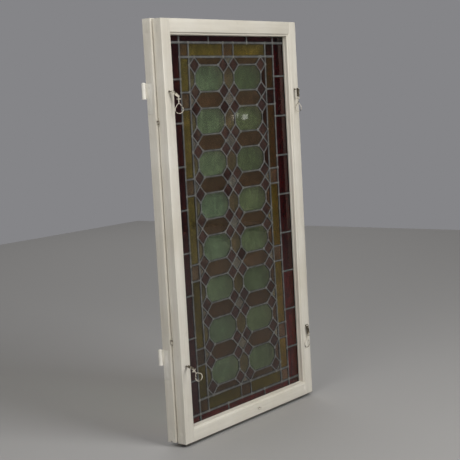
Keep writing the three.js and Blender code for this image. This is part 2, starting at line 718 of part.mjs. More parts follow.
/**
 * The hooks. Each eye's ring turns about eyeNormal, and its link hangs from the side that eyeOut
 * points to. The link runs along lean with its flat faces across face. The loop hangs along drop
 * and widens along spread.
 */
const HOOKS = [
  {
    name: 'hook_upper_left', fromEdge: 19, z: 407, out: 6.4, neck: 21,
    eyeNormal: vector(0, 0, 1), eyeOut: vector(0.61, -0.79, 0), face: vector(-0.79, -0.61, 0.114),
    lean: vector(0.396, -0.635, -0.658), drop: vector(0, 0, -1), spread: vector(0.61, -0.79, 0),
  },
  {
    name: 'hook_lower_left', fromEdge: 21, z: -388, out: 7, neck: 20,
    eyeNormal: vector(0.44, 0, 0.898), eyeOut: vector(-0.266, -0.955, 0.13), face: vector(-0.858, 0.296, 0.42),
    lean: vector(-0.341, -0.935, -0.1), drop: vector(-0.25, -0.8, -0.545), spread: vector(0.333, -0.607, 0.723),
  },
  {
    name: 'hook_upper_right', fromEdge: 647, z: 397, out: 10.2, neck: 23,
    eyeNormal: vector(0, 0, 1), eyeOut: vector(0, -1, 0), face: vector(1, 0, 0),
    lean: vector(0, 0.02, -1), drop: vector(0, 0.03, -1), spread: vector(0, -1, -0.03),
  },
  {
    name: 'hook_lower_right', fromEdge: 646.5, z: -387, out: 7, neck: 20,
    eyeNormal: vector(1, 0, 0), eyeOut: vector(0, 0, -1), face: vector(-0.5, -0.866, 0),
    lean: vector(0.2, 0, -1), drop: vector(-0.12, 0.08, -1), spread: vector(0.99, -0.12, 0),
  },
];

const HANG = 0.5; // from a hole's middle to the wire that hangs in it

/** Middle of a hook's screw eye. */
function eyeCentre({ fromEdge, z, out }) {
  return vector(INNER.left + fromEdge, INNER.front - out, z);
}

/** A direction made square to another one. */
function squared(direction, axis) {
  const along = axis.clone().normalize();
  return direction.clone().addScaledVector(along, -direction.dot(along)).normalize();
}

/** A screw eye: a wire ring on a shank in the stile. */
function screwEye(hook) {
  const centre = eyeCentre(hook);
  const neck = centre.clone().setY(centre.y + EYE.radius);
  const end = centre.clone().setY(INNER.front + EYE.shank);
  return ring(centre, hook.eyeNormal.clone().normalize(), EYE.radius, EYE.wire).add(bar(neck, end, EYE.wire + 0.4, 8));
}

/** The link between a screw eye and its loop: a flat bar with a hole at each rounded end. */
function link(hook) {
  const along = hook.lean.clone().normalize();
  const across = squared(hook.face, along);
  const wide = across.clone().cross(along);
  const upper = eyeCentre(hook)
    .addScaledVector(hook.eyeOut.clone().normalize(), EYE.radius)
    .addScaledVector(along, HANG);
  const lower = upper.clone().addScaledVector(along, LINK.length);
  const disc = (centre, radius, thick, sides) => bar(
    centre.clone().addScaledVector(across, -thick / 2), centre.clone().addScaledVector(across, thick / 2), radius, sides,
  );
  const plank = new THREE.BoxGeometry(LINK.half * 2, LINK.length, LINK.thick);
  plank.applyMatrix4(new THREE.Matrix4().makeBasis(wide, along, wide.clone().cross(along)));
  const middle = upper.clone().add(lower).multiplyScalar(0.5);
  plank.translate(middle.x, middle.y, middle.z);
  const body = solid(plank)
    .add(disc(upper, LINK.half, LINK.thick, 12))
    .add(disc(lower, LINK.half, LINK.thick, 12))
    .subtract(disc(upper, LINK.hole, LINK.thick * 2, 8))
    .subtract(disc(lower, LINK.hole, LINK.thick * 2, 8));
  return { body, lower };
}

/** The wire loop: a small ring, a wound collar, a neck and a teardrop below it. */
function wireLoop(hook, hangsFrom) {
  const down = hook.drop.clone().normalize();
  const wide = squared(hook.spread, down);
  const ringCentre = hangsFrom.clone().addScaledVector(down, HANG + LOOP.ring);
  const neckStart = ringCentre.clone().addScaledVector(down, LOOP.ring);
  const neckEnd = hangsFrom.clone().addScaledVector(down, hook.neck);
  const spread = Math.acos(LOOP.radius / LOOP.centre);
  const arcSteps = 11;
  const points = [vector(0, 0, 0)];
  for (let i = 0; i <= arcSteps; i += 1) {
    const angle = spread + ((2 * Math.PI - 2 * spread) * i) / arcSteps;
    points.push(vector(LOOP.radius * Math.sin(angle), LOOP.centre - LOOP.radius * Math.cos(angle), 0));
  }
  const teardrop = new THREE.TubeGeometry(new THREE.CatmullRomCurve3(points, true, 'centripetal'), 18, LOOP.wire, 5, true);
  teardrop.applyMatrix4(new THREE.Matrix4().makeBasis(wide, down, wide.clone().cross(down)));
  teardrop.translate(neckEnd.x, neckEnd.y, neckEnd.z);
  const collarAt = neckStart.clone().addScaledVector(down, LOOP.collar - LOOP.wire);
  const collarEnd = (way) => collarAt.clone().addScaledVector(wide, way * LOOP.collarHalf);
  return ring(ringCentre, wide, LOOP.ring, LOOP.wire)
    .add(bar(collarEnd(-1), collarEnd(1), LOOP.collar, 8))
    .add(bar(neckStart, neckEnd.clone().addScaledVector(down, LOOP.wire), LOOP.wire + 0.5, 8))
    .add(solid(teardrop));
}

/** The hole that a screw eye's shank sits in. */
function shankHole(hook) {
  const centre = eyeCentre(hook);
  const start = centre.clone().setY(INNER.front - 1);
  const end = centre.clone().setY(INNER.front + EYE.shank + GAP);
  return bar(start, end, EYE.wire + 0.4 + GAP + 0.1, 8);
}

// ---------------------------------------------------------------- stud

/** An oval-headed stud left in the bottom rail, under several coats of paint. */
function railStud() {
  const x = INNER.left + STUD.fromLeft;
  const z = INNER.bottom + STUD.fromBottom;
  const profile = [[0, -GAP], [1, -GAP], [1, -0.55 * STUD.out], [0.8, -0.85 * STUD.out], [0.45, -STUD.out], [0, -STUD.out]];
  const head = new THREE.LatheGeometry(profile.map(([radius, y]) => new THREE.Vector2(radius, y)).reverse(), 14);
  head.scale(STUD.half, 1, STUD.rise);
  head.translate(x, INNER.front, z);
  const shank = bar(vector(x, INNER.front - 1, z), vector(x, INNER.front + STUD.depth, z), STUD.shank, 12);
  return solid(head).add(shank);
}

function studHole() {
  const x = INNER.left + STUD.fromLeft;
  const z = INNER.bottom + STUD.fromBottom;
  return bar(vector(x, INNER.front - 1, z), vector(x, INNER.front + STUD.depth + GAP, z), STUD.shank + GAP + 0.1, 12);
}

// ---------------------------------------------------------------- assembly

for (const top of Object.values(MAIN_HINGE_TOPS)) {
  outerSash.outer_stile_left = without(outerSash.outer_stile_left, leafRecess(top));
}
for (const z of Object.values(COUPLING_HEIGHTS)) {
  innerSash.inner_stile_left = without(innerSash.inner_stile_left, couplingRecess(z));
}
for (const hook of HOOKS) {
  const stile = hook.fromEdge < INNER_WIDTH / 2 ? 'inner_stile_left' : 'inner_stile_right';
  innerSash[stile] = without(innerSash[stile], shankHole(hook));
}
innerSash.inner_rail_bottom = without(innerSash.inner_rail_bottom, studHole());

for (const [name, body] of Object.entries({ ...outerSash, ...innerSash })) {
  addPiece(name, geometryOf(body), paint);
}
addOuterGlazing();
addInnerBeads();
addLeadedPanel();
for (const [place, top] of Object.entries(MAIN_HINGE_TOPS)) {
  addPiece(`main_hinge_${place}`, geometryOf(mainHinge(top)), paint);
}
for (const [place, z] of Object.entries(COUPLING_HEIGHTS)) {
  const { outer, inner } = couplingHinge(z);
  addPiece(`coupling_hinge_${place}_outer`, geometryOf(outer), paint);
  addPiece(`coupling_hinge_${place}_inner`, geometryOf(inner), paint);
}
for (const hook of HOOKS) {
  const { body, lower } = link(hook);
  addPiece(`${hook.name}_eye`, geometryOf(screwEye(hook)), wire);
  addPiece(`${hook.name}_link`, geometryOf(body), wire);
  addPiece(`${hook.name}_loop`, geometryOf(wireLoop(hook, lower)), wire);
}
addPiece('rail_stud', geometryOf(railStud()), paint);

export default group;
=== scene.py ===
import logging
import math
import random
from collections.abc import Callable, Sequence
from dataclasses import dataclass, field
from enum import Enum

import bpy
from mathutils import Matrix, Vector


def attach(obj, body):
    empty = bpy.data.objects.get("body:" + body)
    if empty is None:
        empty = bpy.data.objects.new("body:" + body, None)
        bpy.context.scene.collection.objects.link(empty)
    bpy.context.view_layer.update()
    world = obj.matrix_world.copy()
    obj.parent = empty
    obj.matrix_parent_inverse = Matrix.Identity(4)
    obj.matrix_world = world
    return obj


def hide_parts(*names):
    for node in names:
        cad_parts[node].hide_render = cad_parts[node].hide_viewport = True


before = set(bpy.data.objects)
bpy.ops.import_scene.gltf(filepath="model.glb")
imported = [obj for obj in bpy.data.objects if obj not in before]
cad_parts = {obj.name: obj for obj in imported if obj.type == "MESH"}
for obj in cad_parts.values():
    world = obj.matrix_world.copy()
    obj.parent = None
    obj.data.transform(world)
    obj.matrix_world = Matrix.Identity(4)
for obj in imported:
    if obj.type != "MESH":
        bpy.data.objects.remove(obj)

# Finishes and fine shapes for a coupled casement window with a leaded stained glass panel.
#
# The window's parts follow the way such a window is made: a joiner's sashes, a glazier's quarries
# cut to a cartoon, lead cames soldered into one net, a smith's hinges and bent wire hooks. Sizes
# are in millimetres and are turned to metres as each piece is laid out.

logging.basicConfig(level=logging.INFO, format="%(levelname)s %(message)s")
LOG = logging.getLogger("window")

MM = 0.001
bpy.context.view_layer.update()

Point = tuple[float, float]
Piece = bpy.types.Object
Material = bpy.types.Material
Socket = bpy.types.NodeSocket


# ------------------------------------------------------------------------------ workbench


def linear(hex_colour: str) -> tuple[float, float, float, float]:
    """Turns an sRGB hex colour to the linear values that shaders take.

    Args:
        hex_colour: Six hex digits after a hash sign.

    Returns:
        Linear red, green and blue, with an alpha of 1.
    """
    channels = [int(hex_colour[i : i + 2], 16) / 255 for i in (1, 3, 5)]
    red, green, blue = [c / 12.92 if c <= 0.04045 else ((c + 0.055) / 1.055) ** 2.4 for c in channels]
    return red, green, blue, 1.0


class Bench:
    """The handful of moves that every piece is made with."""

    @staticmethod
    def clear() -> None:
        """Leaves edit mode and deselects everything."""
        if bpy.context.object and bpy.context.object.mode != "OBJECT":
            bpy.ops.object.mode_set(mode="OBJECT")
        bpy.ops.object.select_all(action="DESELECT")

    @staticmethod
    def take(piece: Piece) -> None:
        """Selects one piece alone and makes it active.

        Args:
            piece: The piece.
        """
        Bench.clear()
        piece.select_set(True)
        bpy.context.view_layer.objects.active = piece

    @staticmethod
    def edit(piece: Piece, select: str = "SELECT") -> None:
        """Opens a piece in edit mode with all or none of it selected.

        Args:
            piece: The piece.
            select: SELECT for all of it, DESELECT for none.
        """
        Bench.take(piece)
        bpy.ops.object.mode_set(mode="EDIT")
        bpy.ops.mesh.select_all(action=select)

    @staticmethod
    def done() -> Piece:
        """Leaves edit mode.

        Returns:
            The piece that was being edited.
        """
        bpy.ops.object.mode_set(mode="OBJECT")
        return bpy.context.object

    @staticmethod
    def settled() -> Piece:
        """Moves a new primitive's place, turn and size into its mesh.

        Returns:
            The primitive.
        """
        bpy.ops.object.transform_apply(location=True, rotation=True, scale=True)
        return bpy.context.object

    @staticmethod
    def closed() -> Piece:
        """Turns every face of the piece being edited outwards and leaves edit mode.

        Returns:
            The piece.
        """
        bpy.ops.mesh.select_all(action="SELECT")
        bpy.ops.mesh.normals_make_consistent(inside=False)
        return Bench.done()

    @staticmethod
    def finish_with(piece: Piece, kind: str, **settings: object) -> None:
        """Adds a modifier to a piece and applies it.

        Args:
            piece: The piece.
            kind: The modifier's type.
            **settings: The modifier's properties.
        """
        Bench.take(piece)
        modifier = piece.modifiers.new(kind, kind)
        for name, value in settings.items():
            setattr(modifier, name, value)
        bpy.ops.object.modifier_apply(modifier=modifier.name)

    @staticmethod
    def block(low: Sequence[float], high: Sequence[float], ease: float = 0.0) -> Piece:
        """Adds a block between two corners, with its edges eased.

        Args:
            low: Lowest corner in millimetres.
            high: Highest corner in millimetres.
            ease: Width of the rounding along every edge, in millimetres.

        Returns:
            The new block.
        """
        Bench.clear()
        centre = [(a + b) / 2 * MM for a, b in zip(low, high)]
        size = [(b - a) * MM for a, b in zip(low, high)]
        bpy.ops.mesh.primitive_cube_add(size=1, location=centre, scale=size)
        piece = Bench.settled()
        if ease:
            Bench.edit(piece)
            bpy.ops.mesh.bevel(offset=ease * MM, segments=2, affect="EDGES")
            Bench.done()
        return piece

    @staticmethod
    def turned(foot: Sequence[float], stations: Sequence[Point], sides: int = 32) -> Piece:
        """Turns an upright solid from a disc, drawn out ring by ring.

        Args:
            foot: Where height 0 of the axis is, in millimetres.
            stations: Radius and height of each ring in turn, in millimetres.
            sides: Number of faces round the axis.

        Returns:
            The turned solid, closed at both ends.
        """
        Bench.clear()
        radius, height = stations[0]
        at = [foot[0] * MM, foot[1] * MM, (foot[2] + height) * MM]
        bpy.ops.mesh.primitive_circle_add(vertices=sides, radius=radius * MM, fill_type="NGON", location=at)
        piece = Bench.settled()
        Bench.edit(piece)
        for next_radius, next_height in stations[1:]:
            bpy.ops.mesh.extrude_region_move(
                TRANSFORM_OT_translate={"value": (0, 0, (next_height - height) * MM)}
            )
            share = next_radius / radius
            pivot = (foot[0] * MM, foot[1] * MM, (foot[2] + next_height) * MM)
            bpy.ops.transform.resize(value=(share, share, 1), center_override=pivot)
            radius, height = next_radius, next_height
        return Bench.closed()

    @staticmethod
    def wire(points: Sequence[Vector], radius: float, closed: bool = False) -> Piece:
        """Bends a round wire along a smooth line.

        No edit-mode move bends a wire along a free line in space, so it is a curve made a mesh.

        Args:
            points: What the wire's middle passes through, in millimetres.
            radius: The wire's radius in millimetres.
            closed: True if its ends meet.

        Returns:
            The wire as a mesh, with closed ends.
        """
        Bench.clear()
        curve = bpy.data.curves.new("wire", "CURVE")
        curve.dimensions = "3D"
        curve.bevel_depth = radius * MM
        curve.bevel_resolution = 3
        curve.resolution_u = 5
        curve.use_fill_caps = not closed
        spline = curve.splines.new("BEZIER")
        spline.bezier_points.add(len(points) - 1)
        for knot, point in zip(spline.bezier_points, points):
            knot.co = point * MM
            knot.handle_left_type = knot.handle_right_type = "AUTO"
        spline.use_cyclic_u = closed
        piece = bpy.data.objects.new("wire", curve)
        bpy.context.scene.collection.objects.link(piece)
        Bench.take(piece)
        bpy.ops.object.convert(target="MESH")
        piece = bpy.context.object
        Bench.edit(piece)
        bpy.ops.mesh.remove_doubles(threshold=1e-6)
        return Bench.closed()

    @staticmethod
    def ring(centre: Vector, normal: Vector, radius: float, wire_radius: float) -> Piece:
        """Bends a wire ring about a normal, all in millimetres.

        Args:
            centre: The ring's middle.
            normal: What it turns about.
            radius: Its middle line's radius.
            wire_radius: The wire's radius.

        Returns:
            The ring.
        """
        across = normal.orthogonal().normalized()
        along = normal.normalized().cross(across)
        steps = 12
        turns = [2 * math.pi * i / steps for i in range(steps)]
        points = [centre + radius * (math.cos(t) * across + math.sin(t) * along) for t in turns]
        return Bench.wire(points, wire_radius, closed=True)

    @staticmethod
    def bore(
        piece: Piece, radius: float, depth: float, at: Sequence[float], sides: int, level: bool = False
    ) -> None:
        """Bores a round hole in a piece.

        Args:
            piece: The piece.
            radius: The hole's radius in millimetres.
            depth: Its depth, half of it on each side of its middle.
            at: Its middle.
            sides: Number of faces round it.
            level: True if it runs front to back, not upright.
        """
        Bench.clear()
        bpy.ops.mesh.primitive_cylinder_add(
            vertices=sides,
            radius=radius * MM,
            depth=depth * MM,
            location=Vector(at) * MM,
            rotation=(math.pi / 2 if level else 0, 0, 0),
        )
        drill = bpy.context.object
        Bench.finish_with(piece, "BOOLEAN", operation="DIFFERENCE", solver="EXACT", object=drill)
        bpy.data.objects.remove(drill)

    @staticmethod
    def join(pieces: Sequence[Piece]) -> Piece:
        """Joins pieces into the first of them.

        Args:
            pieces: The pieces.

        Returns:
            The joined piece.
        """
        Bench.take(pieces[0])
        for piece in pieces:
            piece.select_set(True)
        bpy.ops.object.join()
        return bpy.context.object

    @staticmethod
    def copy_of(node: str) -> Piece:
        """Copies a CAD node's mesh into a new piece, with its loose triangles merged to clean faces.

        Args:
            node: Name of the node.

        Returns:
            The copy.
        """
        piece = bpy.data.objects.new(node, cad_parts[node].data.copy())
        bpy.context.scene.collection.objects.link(piece)
        Bench.edit(piece)
        bpy.ops.mesh.remove_doubles(threshold=2e-6)
        bpy.ops.mesh.dissolve_limited(angle_limit=math.radians(0.4))
        return Bench.done()

    @staticmethod
    def smooth(piece: Piece, angle: float = 38) -> None:
        """Shades a piece smooth across edges below an angle in degrees."""
        Bench.take(piece)
        bpy.ops.object.shade_smooth_by_angle(angle=math.radians(angle))


@dataclass
class Fitted:
    """A finished piece's place in the window."""

    body: str
    slot: str
    stands_for: tuple[str, ...] = ()

    def fit(self, piece: Piece, name: str, finish: Material) -> None:
        """Names a piece, dresses it, ties it to its body and hides the CAD nodes it stands for.

        Args:
            piece: The piece.
            name: Its name.
            finish: Its finish.
        """
        piece.name = piece.data.name = name
        piece.data.materials.clear()
        piece.data.materials.append(finish)
        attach(piece, self.body)
        if self.stands_for:
            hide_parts(*self.stands_for)
        LOG.info("%s: %d faces on %s", name, len(piece.data.polygons), self.body)


# ------------------------------------------------------------------------------ finishes

COLOURS = {"data_type": "RGBA", "out": 2}


def lumps(size_mm: float) -> float:
    """Gives the texture scale whose lumps are about a size in millimetres."""
    return 1000 / size_mm


class Recipe:
    """A material under construction."""

    def __init__(self, name: str) -> None:
        """Starts a material with a Principled shader alone.

        Args:
            name: The material's name.
        """
        self.material = bpy.data.materials.new(name)
        self.material.use_nodes = True
        self.tree = self.material.node_tree
        self.shader = self.tree.nodes["Principled BSDF"]

    def add(
        self, kind: str, inputs: dict | tuple = (), out: int | str = 0, **settings: object
    ) -> Socket:
        """Adds a node with its settings and links.

        Args:
            kind: The node's type, without its leading ShaderNode.
            inputs: Values or sockets for its inputs, by name or number, or in order.
            out: The output that is wanted.
            **settings: Properties of the node itself.

        Returns:
            The output.
        """
        node = self.tree.nodes.new(f"ShaderNode{kind}")
        for name, value in settings.items():
            setattr(node, name, value)
        self.feed(node, inputs)
        return node.outputs[out]

    def feed(self, node: bpy.types.Node, inputs: dict | tuple) -> None:
        """Sets or links a node's inputs.

        Args:
            node: The node.
            inputs: Values or sockets, by name or number, or in order.
        """
        for name, value in inputs.items() if isinstance(inputs, dict) else enumerate(inputs):
            if isinstance(value, Socket):
                self.tree.links.new(value, node.inputs[name])
            else:
                node.inputs[name].default_value = value

    def pass_light(self, colour: object) -> None:
        """Lets lamps shine on what is behind the surface.

        Args:
            colour: What the light is tinted by, half at each face.
        """
        tint = self.add("Gamma", (colour, 0.5))
        clear = self.add("BsdfTransparent", (tint,))
        is_lamp = self.add("LightPath", out="Is Shadow Ray")
        surface = self.add("MixShader", (is_lamp, self.shader.outputs[0], clear))
        self.feed(self.tree.nodes["Material Output"], (surface,))

    def finish(self, **inputs: object) -> Material:
        """Sets the shader's inputs, with underscores for spaces, and hands over the material."""
        self.feed(self.shader, {name.replace("_", " "): value for name, value in inputs.items()})
        return self.material


@dataclass(frozen=True)
class OilPaint:
    """Alkyd oil paint on softwood, brushed on in many coats."""

    # Brushing leaves ridges along the grain and a soft sheen. The paint yellows in clouds, holds
    # dirt, and flakes to the wood in small chips. Its creases are darkened by painted shade, and a
    # thin band at the foot is darkened by a painted shadow where the sash meets the floor.
    name: str
    stroke: tuple[float, float, float]
    fresh: str = "#E5E0D4"
    aged: str = "#D8D1C1"
    grime_and_shade: str = "#8F8674"
    bare: str = "#8C7358"
    foot_shadow: str = "#3A342C"
    # Below this height, over a thin band, the colour is darkened to paint the shadow where the sash meets the
    # floor.
    foot: float = -617.0
    foot_shadow_height: float = 1.2
    chip_level: float = 0.745

    def make(self) -> Material:
        """Builds the paint, with its brush strokes along one axis.

        Returns:
            The material.
        """
        recipe = Recipe(self.name)
        add = recipe.add
        place = add("TexCoord", out="Object")
        strokes = add("Mapping", {"Vector": place, "Scale": self.stroke})
        height = add("SeparateXYZ", (place,), "Z")
        crease = add("NewGeometry", out="Pointiness")
        cloud = add("TexNoise", {"Vector": place, "Scale": lumps(160), "Detail": 4})
        bristles = add("TexNoise", {"Vector": strokes, "Scale": lumps(1.8), "Detail": 2, "Roughness": 0.6})
        dust = add("TexNoise", {"Vector": strokes, "Scale": lumps(9), "Detail": 4})
        smudge = add("TexNoise", {"Vector": place, "Scale": lumps(34), "Detail": 6, "Roughness": 0.7})
        chips = add("TexNoise", {"Vector": place, "Scale": lumps(7.5), "Detail": 5, "Roughness": 0.75})
        runs = add("TexNoise", {"Vector": place, "Scale": lumps(26), "Detail": 2})
        sheen = add("TexNoise", {"Vector": place, "Scale": lumps(60), "Detail": 3})
        chipped = (self.chip_level, self.chip_level + 0.015)
        colour = linear(self.fresh)
        # Of these layers, the crease layer is painted shade in the hollows; the dust and smudge layers are
        # dirt.
        for mask, start, end, most, over in (
            (cloud, 0.3, 0.7, 1.0, self.aged),
            (dust, 0.35, 0.75, 0.16, self.grime_and_shade),
            (smudge, 0.62, 0.8, 0.3, self.grime_and_shade),
            (crease, 0.5, 0.44, 0.55, self.grime_and_shade),
            (chips, *chipped, 1.0, self.bare),
            (height, self.foot * MM, (self.foot - self.foot_shadow_height) * MM, 0.9, self.foot_shadow),
        ):
            share = add("MapRange", (mask, start, end, 0.0, most))
            colour = add("Mix", {0: share, 6: colour, 7: linear(over)}, **COLOURS)
        unchipped = add("MapRange", (chips, *chipped, 1.0, 0.0))
        normal = add("Bump", {"Height": bristles, "Distance": 0.12 * MM})
        normal = add("Bump", {"Height": runs, "Distance": 0.8 * MM, "Normal": normal})
        normal = add("Bump", {"Height": unchipped, "Distance": 0.3 * MM, "Normal": normal})
        rough = add("MapRange", (sheen, 0.3, 0.7, 0.36, 0.52))
        return recipe.finish(Base_Color=colour, Roughness=rough, Normal=normal, IOR=1.48)


@dataclass(frozen=True)
class LinseedPutty:
    """Linseed putty under old paint."""

    # Knifed on soft and painted over: chalky, lumpy, and crossed by hairline cracks as it dries.
    # The cracks are drawn wider than real ones, or they wouldn't show.
    name: str = "linseed_putty"
    fresh: str = "#DDD5C4"
    aged: str = "#C6BCA6"
    crack: str = "#6E6351"
    crack_mm: float = 22

    def make(self) -> Material:
        """Builds the putty.

        Returns:
            The material.
        """
        recipe = Recipe(self.name)
        add = recipe.add
        place = add("TexCoord", out="Object")
        cloud = add("TexNoise", {"Vector": place, "Scale": lumps(40), "Detail": 5})
        knife = add("TexNoise", {"Vector": place, "Scale": lumps(5), "Detail": 3})
        cells = {"Vector": place, "Scale": lumps(self.crack_mm)}
        edge = add("TexVoronoi", cells, "Distance", feature="DISTANCE_TO_EDGE")
        shade = add("MapRange", (cloud, 0.3, 0.7))
        crack = add("MapRange", (edge, 0.0, 0.03, 0.55, 0.0))
        colour = add("Mix", {0: shade, 6: linear(self.fresh), 7: linear(self.aged)}, **COLOURS)
        colour = add("Mix", {0: crack, 6: colour, 7: linear(self.crack)}, **COLOURS)
        normal = add("Bump", {"Height": knife, "Distance": 0.25 * MM})
        return recipe.finish(Base_Color=colour, Roughness=0.7, Normal=normal, IOR=1.48)


@dataclass(frozen=True)
class MilledLead:
    """Milled lead came gone dull."""

    # Drawn through a mill and left in the air: a soft grey skin with a dim shine, blackened where
    # the cames lap the glass, partly by the cement and partly by painted shade along their edges.
    name: str = "oxidised_lead"
    dark: str = "#494A48"
    mid: str = "#636462"
    pale: str = "#7B7B77"
    cement_and_shade: str = "#1C1B19"

    def make(self) -> Material:
        """Builds the lead, which reads how near the glass it is from the mesh.

        Returns:
            The material.
        """
        recipe = Recipe(self.name)
        add = recipe.add
        place = add("TexCoord", out="Object")
        lap = add("Attribute", out="Fac", attribute_name="lap")
        cloud = add("TexNoise", {"Vector": place, "Scale": lumps(30), "Detail": 5, "Roughness": 0.65})
        ragged = add("TexNoise", {"Vector": place, "Scale": lumps(5), "Detail": 3})
        skin = add("TexNoise", {"Vector": place, "Scale": lumps(6), "Detail": 4})
        dents = add("TexNoise", {"Vector": place, "Scale": lumps(3.5), "Detail": 3})
        # Darkens the came towards its edges where it laps the glass: partly cement, partly painted shade.
        cement_and_shade_mask = add("Math", (lap, ragged), operation="ADD")
        colour = linear(self.dark)
        for mask, start, end, over in (
            (cloud, 0.3, 0.52, self.mid),
            (cloud, 0.52, 0.7, self.pale),
            (cement_and_shade_mask, 0.95, 1.35, self.cement_and_shade),
        ):
            share = add("MapRange", (mask, start, end))
            colour = add("Mix", {0: share, 6: colour, 7: linear(over)}, **COLOURS)
        rough = add("MapRange", (skin, 0.3, 0.7, 0.5, 0.75))
        normal = add("Bump", {"Height": dents, "Distance": 0.2 * MM})
        return recipe.finish(Base_Color=colour, Metallic=0.35, Roughness=rough, Normal=normal)


@dataclass(frozen=True)
class Solder:
    """Tin and lead solder on the joints."""

    # Run on molten and left to set: smoother and a little brighter than the came.
    name: str = "tin_lead_solder"
    dark: str = "#585957"
    pale: str = "#868681"

    def make(self) -> Material:
        """Builds the solder.

        Returns:
            The material.
        """
        recipe = Recipe(self.name)
        add = recipe.add
        place = add("TexCoord", out="Object")
        cloud = add("TexNoise", {"Vector": place, "Scale": lumps(12), "Detail": 4})
        dimples = add("TexNoise", {"Vector": place, "Scale": lumps(2.5), "Detail": 2})
        shade = add("MapRange", (cloud, 0.3, 0.7))
        colour = add("Mix", {0: shade, 6: linear(self.dark), 7: linear(self.pale)}, **COLOURS)
        normal = add("Bump", {"Height": dimples, "Distance": 0.15 * MM})
        return recipe.finish(Base_Color=colour, Metallic=0.45, Roughness=0.45, Normal=normal)


@dataclass(frozen=True)
class DrawnSteel:
    """Drawn steel wire and strip with what is left of a coat of cream paint."""

    # Cold drawn, then browned by rust: dull metal in the bare spots, and matt where paint is left.
    name: str
    bare_below: float
    dark: str = "#453E33"
    mid: str = "#6E6555"
    pale: str = "#998F7D"
    paint: str = "#D6CFBF"

    def make(self) -> Material:
        """Builds the steel, with paint where the patches rise above a level.

        Returns:
            The material.
        """
        recipe = Recipe(self.name)
        add = recipe.add
        place = add("TexCoord", out="Object")
        cloud = add("TexNoise", {"Vector": place, "Scale": lumps(5), "Detail": 4})
        patches = add("TexNoise", {"Vector": place, "Scale": lumps(9), "Detail": 3})
        pits = add("TexNoise", {"Vector": place, "Scale": lumps(1.5), "Detail": 2})
        colour = linear(self.dark)
        for mask, start, end, over in (
            (cloud, 0.3, 0.54, self.mid),
            (cloud, 0.54, 0.7, self.pale),
            (patches, self.bare_below, self.bare_below + 0.05, self.paint),
        ):
            share = add("MapRange", (mask, start, end))
            colour = add("Mix", {0: share, 6: colour, 7: linear(over)}, **COLOURS)
        metal = add("MapRange", (share, 0.0, 1.0, 0.3, 0.0))
        normal = add("Bump", {"Height": pits, "Distance": 0.08 * MM})
        return recipe.finish(Base_Color=colour, Metallic=metal, Roughness=0.42, Normal=normal)


@dataclass(frozen=True)
class CathedralGlass:
    """Machine-rolled cathedral glass, coloured through."""

    # Rolled between cold rollers: see-through but softly rippled, streaky along the roll, with
    # small seeds in it, and darkened along its edges next to the lead, partly by dirt and partly by
    # painted shade. Each quarry carries its own tint.
    name: str
    streak_mm: float = 24
    ripple_mm: float = 9
    ripple_depth: float = 0.02
    streaks: float = 0.35
    roughness: float = 0.03
    shine: float = 0.08
    seed: str = "#3A352B"
    edge_dirt_and_shade: str = "#4A4538"

    def make(self) -> Material:
        """Builds the glass, tinted by each quarry's own colour.

        Returns:
            The material.
        """
        recipe = Recipe(self.name)
        add = recipe.add
        tint = add("Attribute", out="Color", attribute_name="tint")
        batch = add("Attribute", out="Color", attribute_name="batch")
        grime_and_shade = add("Attribute", out="Fac", attribute_name="grime_and_shade")
        place = add("VectorMath", (add("TexCoord", out="Object"), batch), operation="ADD")
        place = add("Mapping", {"Vector": place, "Scale": (1, 1, 0.55)})
        flow = {"Vector": place, "Scale": lumps(self.streak_mm), "Detail": 3, "Distortion": 1.2}
        streak = add("TexNoise", flow)
        seeds = add("TexNoise", {"Vector": place, "Scale": lumps(2.2), "Detail": 2})
        smear = add("TexNoise", {"Vector": place, "Scale": lumps(7), "Detail": 4})
        ripple = add("TexNoise", {"Vector": place, "Scale": lumps(self.ripple_mm), "Detail": 2})
        light = add("MapRange", (streak, 0.3, 0.7, 1 - self.streaks, 1 + 0.5 * self.streaks))
        colour = add("VectorMath", {0: tint, "Scale": light}, operation="SCALE")
        # Darkens the glass along its edges next to the lead: partly dirt, partly painted shade.
        corners = add("Math", (grime_and_shade, smear), operation="MULTIPLY")
        for mask, start, end, most, over in (
            (seeds, 0.66, 0.72, 0.25, self.seed),
            (corners, 0.25, 0.7, 0.55, self.edge_dirt_and_shade),
        ):
            share = add("MapRange", (mask, start, end, 0.0, most))
            colour = add("Mix", {0: share, 6: colour, 7: linear(over)}, **COLOURS)
        normal = add("Bump", {"Height": ripple, "Distance": self.ripple_depth * MM})
        recipe.pass_light(colour)
        return recipe.finish(
            Base_Color=colour,
            Roughness=self.roughness,
            Transmission_Weight=1.0,
            IOR=1.5,
            Specular_IOR_Level=self.shine,
            Normal=normal,
        )


@dataclass(frozen=True)
class DrawnSheetGlass:
    """Old drawn sheet glass."""

    # Drawn upwards from the melt: clear with a trace of green, faintly wavy, and dusty inside.
    name: str = "drawn_sheet_glass"
    tint: str = "#E9EDE6"
    clean: float = 0.82
    wave_mm: float = 90

    def make(self) -> Material:
        """Builds the glass.

        Returns:
            The material.
        """
        recipe = Recipe(self.name)
        add = recipe.add
        place = add("Mapping", {"Vector": add("TexCoord", out="Object"), "Scale": (1, 1, 0.3)})
        waves = add("TexNoise", {"Vector": place, "Scale": lumps(self.wave_mm), "Detail": 1})
        normal = add("Bump", {"Height": waves, "Distance": 0.25 * MM})
        colour = linear(self.tint)
        recipe.pass_light(colour)
        return recipe.finish(
            Base_Color=colour, Roughness=0.0, Transmission_Weight=self.clean, IOR=1.5, Normal=normal
        )


def made(make: Callable[[], Material]) -> Material:
    """Gives a field that holds the material that a finish makes."""
    return field(default_factory=make)


